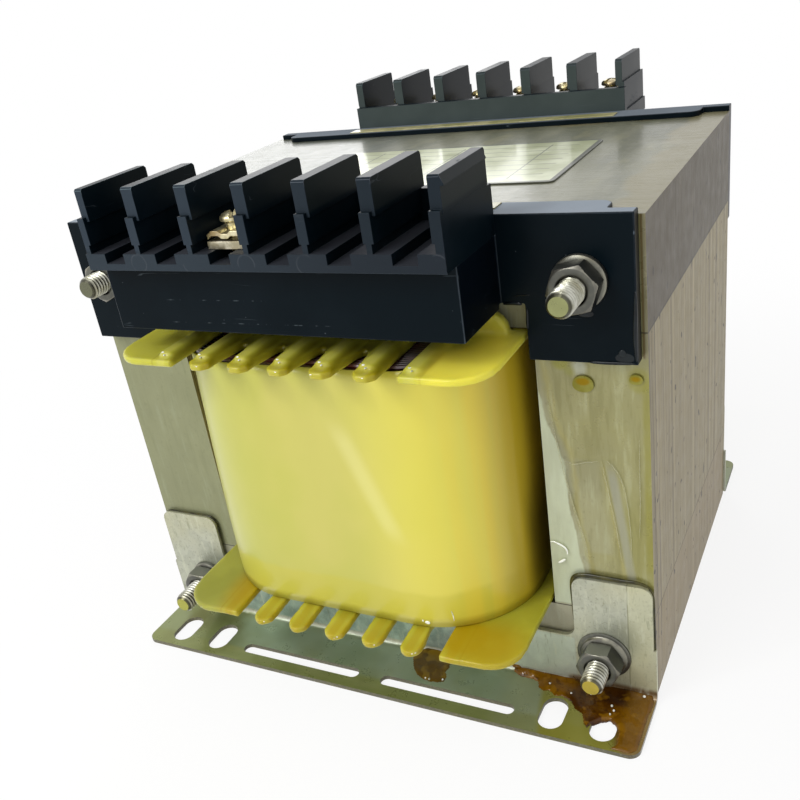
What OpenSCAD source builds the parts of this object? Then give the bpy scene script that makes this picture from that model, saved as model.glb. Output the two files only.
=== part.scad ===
// Open-frame control transformer: an EI sheet core stood upright on two slotted feet, one
// wound bobbin on the centre limb, and a barriered terminal rail along the top front and
// top back edges. Millimetres, +Z up, +Y from front to back, origin under the centre of
// the feet. The back is the front turned half a turn about Z.

/* [Core] */
// Width of an outer limb and of a yoke; the windows and the centre limb follow from it
limb = 25.4; // [25.4:0.1:26]
// Depth of the sheet stack
stack = 102.5; // [80:0.5:120]
// Height of the core above the mounting plane
core_lift = 0.2; // [0.1:0.1:1.4]

/* [Feet] */
// Thickness of the folded sheet
foot_sheet = 1.2; // [1:0.1:2]
// How far a foot stands out from the stack
foot_reach = 21.5; // [20:0.5:30]
// Width of each upright tab
tab_width = 20.2; // [18:0.2:22]
// Height of the tabs above the mounting plane
tab_height = 36; // [30:0.2:44]
// Height of the low strip between the tabs
strip_height = 17; // [12:0.2:20]
// Width of a fixing slot
slot_width = 6.5; // [5:0.1:7]
// Length of a fixing slot, end to end
slot_length = 11; // [9:0.1:12]
// Distance of the outer fixing slots from the middle
outer_slot = 66.5; // [64:0.1:69]
// Distance of the inner fixing slots from the middle
inner_slot = 53; // [51.5:0.1:54.5]
// Length of each long lightening slot
long_slot = 39.5; // [30:0.5:42]
// Width of each long lightening slot
long_slot_width = 3.6; // [2:0.1:5]

/* [Bobbin and winding] */
// How far the upper flange stands out from the stack
flange_reach = 28.6; // [26:0.2:30]
// How far the lower flange stands out from the stack
low_flange_reach = 29.4; // [26:0.2:30]
// Thickness of a flange
flange_sheet = 1.8; // [1.2:0.1:2.5]
// Wall of the square tube under the winding
tube_wall = 1.5; // [1:0.1:2]
// Width of a flange finger near its tip
finger_width = 5.8; // [5.4:0.1:6.5]
// Spacing of the flange fingers
finger_pitch = 11.1; // [9:0.1:11.5]
// How far the wrapped winding stands out from the stack
coil_reach = 20.4; // [17:0.1:22]
// Air gap between the wrapped winding and each outer limb
coil_gap = 4.3; // [3:0.1:8]
// Corner radius of the wrapped winding in plan
coil_round = 26; // [16:0.5:28]
// Thickness of the wrap
wrap_sheet = 0.6; // [0.4:0.1:1]

/* [Terminal rails] */
// Spacing of the barriers
bay_pitch = 14.8; // [13.6:0.1:15.2]
// Thickness of the lower half of a barrier
barrier = 2.4; // [1.8:0.1:2.8]
// How much thicker a barrier is above its step
barrier_swell = 0.7; // [0.2:0.1:1]
// Height of the barriers above the core
barrier_top = 15.8; // [12:0.2:20]
// How far the front of a barrier stands back above its step
barrier_recess = 1.1; // [0.5:0.1:1.5]
// How far the rail stands out from the stack
rail_reach = 28.9; // [27:0.1:32]
// Thickness of the bracket plates against the core
plate_sheet = 3.5; // [2.5:0.1:4]
// How far the bracket plates reach down over the core's face
plate_drop = 31.2; // [27:0.1:36]
// How much shorter the bracket plates are than the core at one end
plate_short = 1.2; // [0:0.1:2]
// Height of the box under the rail
box_height = 16.4; // [13:0.1:18]
// How far the box under the rail stands out from the stack
box_reach = 24; // [22:0.5:26]

/* [Fixings] */
// Diameter of the through bolts
bolt_d = 6; // [5:0.5:6]
// How far each bolt stands out from the stack: top left, top right, bottom left, bottom right
bolt_out = [15.5, 18.5, 16, 14];

/* [Hidden] */
fit = 0.2;
core_w = 6 * limb;
core_h = 5 * limb;
core_top = core_lift + core_h;
half = stack / 2;
bolt_in = limb / 2;
bolt_hole = bolt_d + 1;
washers = [12, 12, 12, 14];
washer_t = 1.6;
nut_af = 10;
nut_t = 5;
head_t = 4;
bolts = [[-1, 1], [1, 1], [-1, -1], [1, -1]];

foot_w = core_w + 1.2;
foot_fold = 3;
slot_y = half + foot_reach - 2.3 - slot_length / 2;
long_y = half + foot_reach - 5.6;
slot_web = 3.6;

plate_top = core_top + 1.5;
plate_low = core_top - plate_drop;
notch_half = limb * 2 + fit;
floor_low = core_top - 2.7;
box_low = floor_low - box_height;
notch_top = box_low + 1;
floor_top = core_top + 1.2;
wall_top = core_top + 8;
step_top = core_top + 9.4;
rib_top = core_top + barrier_top;
rail_half = 3 * bay_pitch + barrier / 2;
plate_y = half + plate_sheet;
wall_t = 2.4;
box_wall = 2.2;
lip_in = 5.9;
lip_half = core_w / 2 - 7.2;
lip_round = 3;
bay_mid = (plate_y + wall_t + half + rail_reach) / 2;
term_w = 9.6;
term_t = 1.8;
term_y = half + 21;
term_front = 4.8;
term_back = half + 9.2;
clamp_half = 4.6;
clamp_t = 1.1;
clamp_rise = 0.8;
clamp_bend = [3.4, 1.6, 0.9];
screw_d = 3.5;
screw_head = 6;
screw_rim = 0.6;
screw_crown = 1.3;
screw_lift = 1.4;
screw_slot = 1;
slot_depth = 1;
floor_slot = [2.75, 2.3];
floor_slot_end = half + 9.5;
groove_x = (bay_pitch - barrier) / 2 + 0.55;
groove_top = term_t + 0.2;
rim = [0.8, 2.1];
rib_cut = [0.5, 1.05, 0.6];
rib_back = plate_y + 1.85;
rib_edge = barrier_swell - rib_cut[2];
rail_shift = 0.3;

window_low = core_lift + limb;
window_top = window_low + 3 * limb;
tube_in = [limb + fit, half + fit];
tube_out = [tube_in[0] + tube_wall, tube_in[1] + tube_wall];
flange_half = 2 * limb - 0.8;
flange_y = half + flange_reach;
low_flange_y = half + low_flange_reach;
coil_half = 2 * limb - coil_gap;
coil_front = half + coil_reach;
coil_low = window_low + fit + flange_sheet;
coil_top = window_top - fit - flange_sheet;
wind_gap = 0.1;
wrap_short = 1.5;
collar_y = half + 3.7;
collar_half = 2 * limb - 4.3;
collar_top = coil_top + flange_sheet + 5.4;
finger_root = half + 15;
finger_foot = half + 24.5;
ear_in = 2.5 * finger_pitch + 2.5;
ear_round = 9;
ridge_half = 2.6;
ridge_height = 1.3;
ridge_back = 3;

nameplate_w = 77.7;
nameplate_l = 44.7;
nameplate_t = 0.4;
nameplate_x = [9.85 - nameplate_w / 2, 9.85 + nameplate_w / 2];
nameplate_y = [-1.65 - nameplate_l / 2, -1.65 + nameplate_l / 2];

$fn = 40;

module slab(x, y, z) {
    translate([x[0], y[0], z[0]]) cube([x[1] - x[0], y[1] - y[0], z[1] - z[0]]);
}

module back() {
    rotate([0, 0, 180]) children();
}

// A rectangle from one corner to the other with corners of radius r
module round_rect(x, y, r) {
    translate([x[0] + r, y[0]]) square([x[1] - x[0] - 2 * r, y[1] - y[0]]);
    translate([x[0], y[0] + r]) square([x[1] - x[0], y[1] - y[0] - 2 * r]);
    for (a = [x[0] + r, x[1] - r], b = [y[0] + r, y[1] - r]) translate([a, b]) circle(r = r);
}

// A rod along Y between two distances in front of the middle
module rod(d, from, to, fn = 40) {
    translate([0, -from, 0]) rotate([90, 0, 0]) cylinder(d = d, h = to - from, $fn = fn);
}

module at_bolt(b) {
    translate([b[0] * (core_w / 2 - bolt_in), 0, core_lift + core_h / 2
        + b[1] * (core_h / 2 - bolt_in)]) children();
}

module bolt_holes(side, from, to) {
    for (b = bolts) if (b[1] == side) at_bolt(b) rod(bolt_hole, from, to);
}

// ---- core ----
module yoke(low, side) {
    difference() {
        slab([-core_w / 2, core_w / 2], [-half, half], [low, low + limb]);
        bolt_holes(side, -half - 1, half + 1);
    }
}
module core_top_yoke() { color("#9A9784") yoke(window_top, 1); }
module core_bottom_yoke() { color("#9A9784") yoke(core_lift, -1); }
module leg(x) { color("#9A9784") slab(x, [-half, half], [window_low, window_top]); }
module core_left_limb() { leg([-3 * limb, -2 * limb]); }
module core_right_limb() { leg([2 * limb, 3 * limb]); }
module core_centre_limb() { leg([-limb, limb]); }

// ---- bobbin ----
module tube_plan(p) { square([2 * p[0], 2 * p[1]], center = true); }
module bobbin_tube() {
    color("#B9B04A") translate([0, 0, coil_low]) linear_extrude(coil_top - coil_low)
        difference() {
            tube_plan(tube_out);
            tube_plan(tube_in);
        }
}

// A flange lies full in the windows and ends in fingers between two ears, front and back
module ear_plan(end) {
    intersection() {
        round_rect([ear_in - ear_round, flange_half], [0, end - 1], ear_round);
        translate([ear_in, 0]) square([flange_half, end]);
    }
}
module finger_plan(x, end) {
    wide = finger_pitch / 2 - 0.7;
    w = finger_width / 2;
    translate([x, 0]) polygon([[-wide, finger_root - 1], [-wide, finger_root],
        [-w, finger_foot], [-w, end - 1.8], [1.6 - w, end], [w - 1.6, end],
        [w, end - 1.8], [w, finger_foot], [wide, finger_root], [wide, finger_root - 1]]);
}
module flange_end_plan(end) {
    middle = 2 * finger_pitch + finger_width / 2;
    for (m = [0, 1]) mirror([m, 0]) ear_plan(end);
    translate([-middle, 0]) square([2 * middle, finger_root]);
    intersection() {
        for (i = [-2:2]) finger_plan(i * finger_pitch, end);
        translate([-middle, 0]) square([2 * middle, end + 1]);
    }
}
module flange_plan(end) {
    difference() {
        union() {
            square([2 * flange_half, 2 * collar_y], center = true);
            for (a = [0, 180]) rotate(a) flange_end_plan(end);
        }
        tube_plan(tube_in);
    }
}

// A half-round ridge along a finger, from the core to just short of the tip
module ridge(x, end) {
    end_y = end - ridge_back - ridge_half;
    translate([x, 0, 0]) intersection() {
        translate([0, end, 0]) rotate([90, 0, 0]) linear_extrude(end - collar_y + 0.5)
            polygon(concat([[ridge_half, -0.5]], [for (a = [0:18:180])
                [ridge_half * cos(a), ridge_height * sin(a)]], [[-ridge_half, -0.5]]));
        translate([0, 0, -1]) linear_extrude(ridge_height + 2) union() {
            translate([-ridge_half, 0]) square([2 * ridge_half, end_y]);
            translate([0, end_y]) circle(r = ridge_half);
        }
    }
}
module flange_sheet_with_ridges(end) {
    linear_extrude(flange_sheet) flange_plan(end);
    translate([0, 0, flange_sheet]) for (a = [0, 180], i = [-3:3])
        rotate([0, 0, a]) ridge(i * finger_pitch, end);
}

// The upper flange has a collar at each end that keeps the leads off the yoke
module bobbin_top_flange() {
    color("#B9B04A") {
        translate([0, 0, coil_top]) flange_sheet_with_ridges(flange_y);
        for (a = [0, 180]) rotate([0, 0, a]) translate([0, collar_y, 0]) rotate([90, 0, 0])
            linear_extrude(collar_y - tube_in[1] - 0.6) intersection() {
                round_rect([-collar_half, collar_half], [coil_top - 9, collar_top], 5);
                translate([-collar_half, coil_top]) square([2 * collar_half, 20]);
            }
    }
}
module bobbin_bottom_flange() {
    color("#B9B04A") translate([0, 0, coil_low]) mirror([0, 0, 1])
        flange_sheet_with_ridges(low_flange_y);
}

// ---- winding ----
module coil_plan(shrink) {
    x = coil_half - shrink;
    y = coil_front - shrink;
    round_rect([-x, x], [-y, y], coil_round - shrink);
}
module winding() {
    color("#4A1E1C") translate([0, 0, coil_low + wind_gap])
        linear_extrude(coil_top - coil_low - 2 * wind_gap)
        difference() {
            coil_plan(wrap_sheet);
            tube_plan(tube_out);
        }
}
module winding_wrap() {
    color("#D6CF62") translate([0, 0, coil_low + wind_gap])
        linear_extrude(coil_top - coil_low - 2 * wind_gap - wrap_short)
        difference() {
            coil_plan(0);
            coil_plan(wrap_sheet);
        }
}

// ---- feet ----
module slot_along_y(x, y, w, len) {
    translate([x, y]) for (s = [-1, 1]) translate([0, s * (len - w) / 2]) circle(d = w);
    translate([x - w / 2, y - (len - w) / 2]) square([w, len - w]);
}
module slot_along_x(x, y, w, len) {
    translate([x, y]) rotate(90) slot_along_y(0, 0, w, len);
}
module sole() {
    difference() {
        round_rect([-foot_w / 2, foot_w / 2], [-half - foot_reach, 10 - half], 3);
        translate([-foot_w, -half - foot_fold]) square([2 * foot_w, 30]);
        for (s = [-1, 1]) {
            slot_along_y(s * outer_slot, -slot_y, slot_width, slot_length);
            slot_along_y(s * inner_slot, -slot_y, slot_width, slot_length);
            slot_along_x(s * (slot_web + long_slot / 2), -long_y, long_slot_width, long_slot);
        }
    }
}
module upright_plan() {
    difference() {
        union() {
            translate([-foot_w / 2, foot_fold]) square([foot_w, strip_height - foot_fold]);
            for (s = [-1, 1]) translate([s * (core_w - tab_width) / 2, 0])
                round_rect([-tab_width / 2, tab_width / 2], [6, tab_height], 3);
        }
        for (s = [-1, 1]) translate([s * (core_w / 2 - bolt_in), core_lift + bolt_in])
            circle(d = bolt_hole);
    }
    for (s = [-1, 1]) translate([s * (core_w / 2 - tab_width), strip_height]) difference() {
        translate([s > 0 ? -3 : 0, 0]) square(3);
        translate([s * -3, 3]) circle(r = 3);
    }
}
module foot() {
    color("#B8B8A6") {
        linear_extrude(foot_sheet) sole();
        translate([0, -half, 0]) rotate([90, 0, 0]) linear_extrude(foot_sheet) upright_plan();
        intersection() {
            translate([0, -half - foot_fold, foot_fold]) rotate([0, 90, 0])
                difference() {
                    cylinder(r = foot_fold, h = foot_w, center = true);
                    cylinder(r = foot_fold - foot_sheet, h = foot_w + 2, center = true);
                }
            slab([-foot_w / 2, foot_w / 2], [-half - foot_fold, -half], [0, foot_fold]);
        }
    }
}
module front_foot() { foot(); }
module back_foot() { back() foot(); }

// ---- rail brackets: plate on the core face, lip over the top edge, box under the rail ----
module bracket() {
    color("#1B2126") difference() {
        union() {
            slab([-core_w / 2, core_w / 2 - plate_short], [-plate_y, -half],
                [plate_low, plate_top]);
            translate([0, 0, core_top]) linear_extrude(plate_top - core_top)
                intersection() {
                    translate([-lip_half, -half - 1]) square([2 * lip_half, lip_in + 1]);
                    round_rect([-lip_half, lip_half], [-half - 3 * lip_round, lip_in - half],
                        lip_round);
                }
            slab([-rail_half, rail_half], [-half - box_reach, -plate_y + 1],
                [box_low, floor_low]);
        }
        slab([-notch_half, notch_half], [-plate_y - 1, -half + 1], [plate_low - 1, notch_top]);
        slab([-rail_half + box_wall, rail_half - box_wall],
            [-half - box_reach + box_wall, -plate_y], [box_low - 1, floor_low - 2]);
        bolt_holes(1, half - 1, plate_y + 1);
    }
}
module front_bracket() { bracket(); }
module back_bracket() { back() bracket(); }

// ---- terminal rails ----
// Above its step a barrier is thicker and its front stands back; the two end ones are thinner
module rib(i) {
    x = (i - 3) * bay_pitch;
    front = barrier_recess - half - rail_reach;
    low = [x - barrier / 2 + (i == 0 ? rib_cut[0] : 0), x + barrier / 2];
    high = [x - barrier / 2 + (i == 0 ? rib_cut[1] : 0),
        x + barrier / 2 + barrier_swell - (i == 6 ? rib_cut[2] : 0)];
    slab(low, [-half - rail_reach, -rib_back], [floor_low, step_top]);
    translate([high[0], 0, 0]) rotate([90, 0, 90]) linear_extrude(high[1] - high[0])
        polygon([[front, step_top - 1], [front, rib_top - 0.4], [front + 0.4, rib_top],
            [-rib_back - 0.6, rib_top], [-rib_back, rib_top - 0.6], [-rib_back, step_top - 1]]);
}
module rail() {
    color("#1B2126") {
        difference() {
            union() {
                slab([-rail_half, rail_half], [-half - rail_reach, -plate_y],
                    [floor_low, floor_top]);
                slab([-rail_half, rail_half], [-plate_y - wall_t, -plate_y],
                    [floor_low, wall_top]);
            }
            for (i = [0:5]) slab([bay_x(i) - floor_slot[0], bay_x(i) + floor_slot[0]],
                [-half - rail_reach - 1, -floor_slot_end], [floor_top - floor_slot[1], floor_top + 1]);
        }
        difference() {
            for (i = [0:6]) rib(i);
            for (i = [0:5]) slab([bay_x(i) - groove_x, bay_x(i) + groove_x],
                [-half - rail_reach - 1, -plate_y - wall_t], [floor_top, floor_top + groove_top]);
        }
        translate([rail_half, -rib_back - 1.4, rib_top]) rotate([90, 0, 0])
            linear_extrude(rail_reach + half - barrier_recess - rib_back - 1.4)
                polygon([[0, 0], [rib_edge, 0], [rib_edge + rim[0], 0.3 - rim[1]],
                    [rib_edge + rim[0], -rim[1]], [0, -rim[1]]]);
    }
}
module front_rail() { front_row() rail(); }
module back_rail() { back_row() rail(); }

// ---- terminals ----
function bay_x(i) = (i - 2.5) * bay_pitch;
module in_bay(i) { translate([bay_x(i), -term_y, floor_top]) children(); }
module front_row() { translate([rail_shift, 0, 0]) children(); }
module back_row() { translate([rail_shift, 0, 0]) back() children(); }
module screw_hole() { translate([0, 0, -1]) cylinder(d = screw_d + 0.4, h = 5); }
module terminal_plate() {
    color("#C9BF9A") difference() {
        slab([-term_w / 2, term_w / 2], [-term_front, term_y - term_back], [0, term_t]);
        screw_hole();
    }
}
function clamp_line(z) = let(c = clamp_bend, h = clamp_rise) [[-clamp_half, z], [-c[0], z + h],
    [-c[1], z + h], [-c[2], z + h / 4], [c[2], z + h / 4], [c[1], z + h], [c[0], z + h],
    [clamp_half, z]];
module terminal_clamp() {
    low = clamp_line(0);
    high = clamp_line(clamp_t);
    color("#B79C5E") translate([0, 0, term_t + 0.3]) difference() {
        rotate([90, 0, 0]) linear_extrude(2 * clamp_half, center = true)
            polygon(concat(low, [for (i = [len(high) - 1:-1:0]) high[i]]));
        screw_hole();
    }
}
module terminal_screw() {
    seat = term_t + 0.3 + clamp_t + clamp_rise + screw_lift;
    top = seat + screw_rim + screw_crown;
    color("#B08A45") difference() {
        union() {
            translate([0, 0, -1.7]) cylinder(d = screw_d, h = seat + 1.8);
            translate([0, 0, seat]) cylinder(d = screw_head, h = screw_rim);
            translate([0, 0, seat + screw_rim])
                cylinder(d1 = screw_head, d2 = 0.8 * screw_head, h = screw_crown / 2);
            translate([0, 0, seat + screw_rim + screw_crown / 2])
                cylinder(d1 = 0.8 * screw_head, d2 = 0.4 * screw_head, h = screw_crown / 2);
        }
        slab([-screw_slot / 2, screw_slot / 2], [-screw_head, screw_head],
            [top - slot_depth, top + 1]);
        slab([-screw_d / 2, screw_d / 2], [-screw_slot / 2, screw_slot / 2],
            [top - slot_depth, top + 1]);
    }
}
module front_terminal_plate() { front_row() in_bay(2) terminal_plate(); }
module front_terminal_clamp() { front_row() in_bay(2) terminal_clamp(); }
module front_terminal_screw() { front_row() in_bay(2) terminal_screw(); }
module back_terminal_plates() { back_row() for (i = [0:5]) in_bay(i) terminal_plate(); }
module back_terminal_clamps() { back_row() for (i = [0:5]) in_bay(i) terminal_clamp(); }
module back_terminal_screws() { back_row() for (i = [0:5]) in_bay(i) terminal_screw(); }

// ---- through bolts ----
function seat_y(b) = half + (b[1] > 0 ? plate_sheet : foot_sheet);
module bolt(i) {
    b = bolts[i];
    color("#B9B6A6") at_bolt(b) {
        rod(bolt_d, -seat_y(b) - washer_t - 0.5, half + bolt_out[i] - 0.8);
        translate([0, -half - bolt_out[i] + 0.8, 0]) rotate([90, 0, 0])
            cylinder(d1 = bolt_d, d2 = bolt_d - 1.6, h = 0.8);
        rod(nut_af / cos(30), -seat_y(b) - washer_t - head_t, -seat_y(b) - washer_t, 6);
    }
}
module bolt_top_left() { bolt(0); }
module bolt_top_right() { bolt(1); }
module bolt_bottom_left() { bolt(2); }
module bolt_bottom_right() { bolt(3); }

module ring(outer, from, t, fn = 40) {
    difference() {
        rod(outer, from, from + t, fn);
        rod(bolt_d + 0.4, from - 1, from + t + 1);
    }
}
module front_nuts() {
    color("#A9A798") for (b = bolts) at_bolt(b)
        ring(nut_af / cos(30), seat_y(b) + washer_t, nut_t, 6);
}
module front_washers() {
    color("#A9A798") for (i = [0:3]) at_bolt(bolts[i])
        ring(washers[i], seat_y(bolts[i]), washer_t);
}
module back_washers() {
    color("#A9A798") for (i = [0:3]) at_bolt(bolts[i])
        ring(washers[0], -seat_y(bolts[i]) - washer_t, washer_t);
}

// ---- nameplate and marker strips ----
module nameplate() {
    color("#D8D6B0") translate([0, 0, core_top]) linear_extrude(nameplate_t)
        round_rect(nameplate_x, nameplate_y, 1.5);
}
module strip() {
    color("#CFC596") slab([-rail_half + 1, rail_half - 1], [-half + 0.4, -half + lip_in - 1],
        [plate_top, plate_top + 0.3]);
}
module front_marker_strip() { strip(); }
module back_marker_strip() { back() strip(); }

core_top_yoke();
core_bottom_yoke();
core_left_limb();
core_right_limb();
core_centre_limb();
bobbin_tube();
bobbin_top_flange();
bobbin_bottom_flange();
winding();
winding_wrap();
front_foot();
back_foot();
front_bracket();
back_bracket();
front_rail();
back_rail();
front_terminal_plate();
front_terminal_clamp();
front_terminal_screw();
back_terminal_plates();
back_terminal_clamps();
back_terminal_screws();
bolt_top_left();
bolt_top_right();
bolt_bottom_left();
bolt_bottom_right();
front_nuts();
front_washers();
back_washers();
nameplate();
front_marker_strip();
back_marker_strip();
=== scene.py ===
"""Builds the looks of an open-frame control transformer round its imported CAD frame."""
import math

import bmesh
import bpy
import numpy as np
from mathutils import Matrix, Vector


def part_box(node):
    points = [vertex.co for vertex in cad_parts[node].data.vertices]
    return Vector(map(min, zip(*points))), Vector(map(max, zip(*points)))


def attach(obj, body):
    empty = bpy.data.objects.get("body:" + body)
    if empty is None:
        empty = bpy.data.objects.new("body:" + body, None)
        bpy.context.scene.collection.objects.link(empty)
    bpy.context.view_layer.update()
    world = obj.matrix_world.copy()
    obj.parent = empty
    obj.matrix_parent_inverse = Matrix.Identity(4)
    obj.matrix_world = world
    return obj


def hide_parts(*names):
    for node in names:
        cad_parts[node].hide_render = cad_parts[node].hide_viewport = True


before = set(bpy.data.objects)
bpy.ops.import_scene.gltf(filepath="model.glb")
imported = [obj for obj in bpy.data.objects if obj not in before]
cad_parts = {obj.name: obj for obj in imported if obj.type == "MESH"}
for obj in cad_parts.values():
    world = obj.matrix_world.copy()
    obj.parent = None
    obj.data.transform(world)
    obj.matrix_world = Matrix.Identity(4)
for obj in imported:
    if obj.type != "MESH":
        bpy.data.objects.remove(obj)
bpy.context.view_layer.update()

bl_info = {
    "name": "Control Transformer Parts",
    "version": (1, 0, 0),
    "blender": (4, 5, 0),
    "location": "3D View > Sidebar > Transformer",
    "description": "Builds a control transformer's core, winding, terminal rails and fixings",
    "category": "Object",
}

MM = 0.001
TAU = math.tau

# Places on the frame that several pieces are set out from
CORE_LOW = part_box("core_bottom_yoke")[0]
CORE_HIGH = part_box("core_top_yoke")[1]
WINDOW_LOW, WINDOW_HIGH = (corner.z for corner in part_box("core_left_limb"))
LIMB = CORE_HIGH.z - WINDOW_HIGH
FACE = CORE_HIGH.y
BOLT_X = CORE_HIGH.x - LIMB / 2
BOLT_Z = {"top": CORE_HIGH.z - LIMB / 2, "bottom": CORE_LOW.z + LIMB / 2}
BOLTS = [(level, side, sign) for level in BOLT_Z for side, sign in (("left", -1), ("right", 1))]
BOLT_END = {
    level + "_" + side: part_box("bolt_{}_{}".format(level, side))[0].y for level, side, _ in BOLTS}
RAIL_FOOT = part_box("front_rail")[0].z
COIL_LOW, COIL_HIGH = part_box("winding")
SIDES = ("front", "back")

# Sizes that the frame's boxes don't give
FINGER_PITCH = 0.0111
FINGER_HALF = 0.0029
BAY_PITCH = 0.0148
BAY_SHIFT = 0.0003
BRACKET_PLATE = 0.0035
FOOT_SHEET = 0.0012
WASHER = 0.0016
FINGER_TIP = 0.0265
BOLT_RADIUS = 0.003
THREAD_RUN = 0.0125
COIL_CORNER = 0.0254

# Heights between which the core's look changes from the limbs to a yoke
LOWER_YOKE = (0.0262, 0.0256)
UPPER_YOKE = (0.1012, 0.102)


def tone(red, green, blue):
    """A colour given as it reads on a screen, 0 to 255, in linear light."""
    return tuple(
        c / 12.92 if c <= 0.04045 else ((c + 0.055) / 1.055) ** 2.4
        for c in (red / 255, green / 255, blue / 255)
    )


def scaled(colour, factor):
    """A lighter or darker colour."""
    return tuple(min(c * factor, 1.0) for c in colour)


# ---------------------------------------------------------------- node trees


def math_node(operation, turned=False):
    """A method that adds that Math node; turned puts the other term first."""
    def method(self, *others):
        terms = (*others, self) if turned else (self, *others)
        return self.maker.node("ShaderNodeMath", {"operation": operation}, dict(enumerate(terms)))
    return method


class Value:
    """An output socket that can stand in a Python sum; each sum adds its Math node."""

    def __init__(self, maker, socket):
        self.maker = maker
        self.socket = socket

    __add__ = __radd__ = math_node("ADD")
    __sub__ = math_node("SUBTRACT")
    __rsub__ = math_node("SUBTRACT", turned=True)
    __mul__ = __rmul__ = math_node("MULTIPLY")
    __truediv__ = math_node("DIVIDE")
    __rtruediv__ = math_node("DIVIDE", turned=True)
    __lt__ = math_node("LESS_THAN")
    __gt__ = math_node("GREATER_THAN")
    to_power = math_node("POWER")
    size = math_node("ABSOLUTE")
    part = math_node("FRACT")
    floor = math_node("FLOOR")
    sine = math_node("SINE")
    cosine = math_node("COSINE")
    least = math_node("MINIMUM")
    most = math_node("MAXIMUM")

    def __neg__(self):
        return self * -1.0


class Maker:
    """Adds nodes to a tree."""

    def __init__(self, tree):
        self.tree = tree

    def node(self, kind, setup=None, values=None, out=0):
        """A node of that kind, its settings made first, then its sockets; gives one output."""
        made = self.tree.nodes.new(kind)
        for name, value in (setup or {}).items():
            setattr(made, name, value)
        for name, value in (values or {}).items():
            socket = made.inputs[name]
            if isinstance(value, Value):
                self.tree.links.new(value.socket, socket)
            elif socket.type == "RGBA":
                socket.default_value = (*value, 1.0)
            else:
                socket.default_value = value
        return Value(self, made.outputs[out])

    def outputs(self, made, *names):
        """Other outputs of the node that a value comes from."""
        return [Value(self, made.socket.node.outputs[name]) for name in names]

    def parts_of(self, vector):
        """The X, Y and Z of a vector."""
        return self.outputs(self.node("ShaderNodeSeparateXYZ", values={0: vector}), 0, 1, 2)

    def vector(self, x, y, z):
        return self.node("ShaderNodeCombineXYZ", values={0: x, 1: y, 2: z})

    def vector_sum(self, operation, *terms, out=0, **named):
        return self.node("ShaderNodeVectorMath", {"operation": operation},
                         {**dict(enumerate(terms)), **named}, out)

    def plain_view(self):
        """1 for the rays that show the background itself, or its image in metal and glass."""
        camera, glossy, through = self.outputs(
            self.node("ShaderNodeLightPath"),
            "Is Camera Ray", "Is Glossy Ray", "Is Transmission Ray")
        return camera.most(glossy).most(through)


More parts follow.
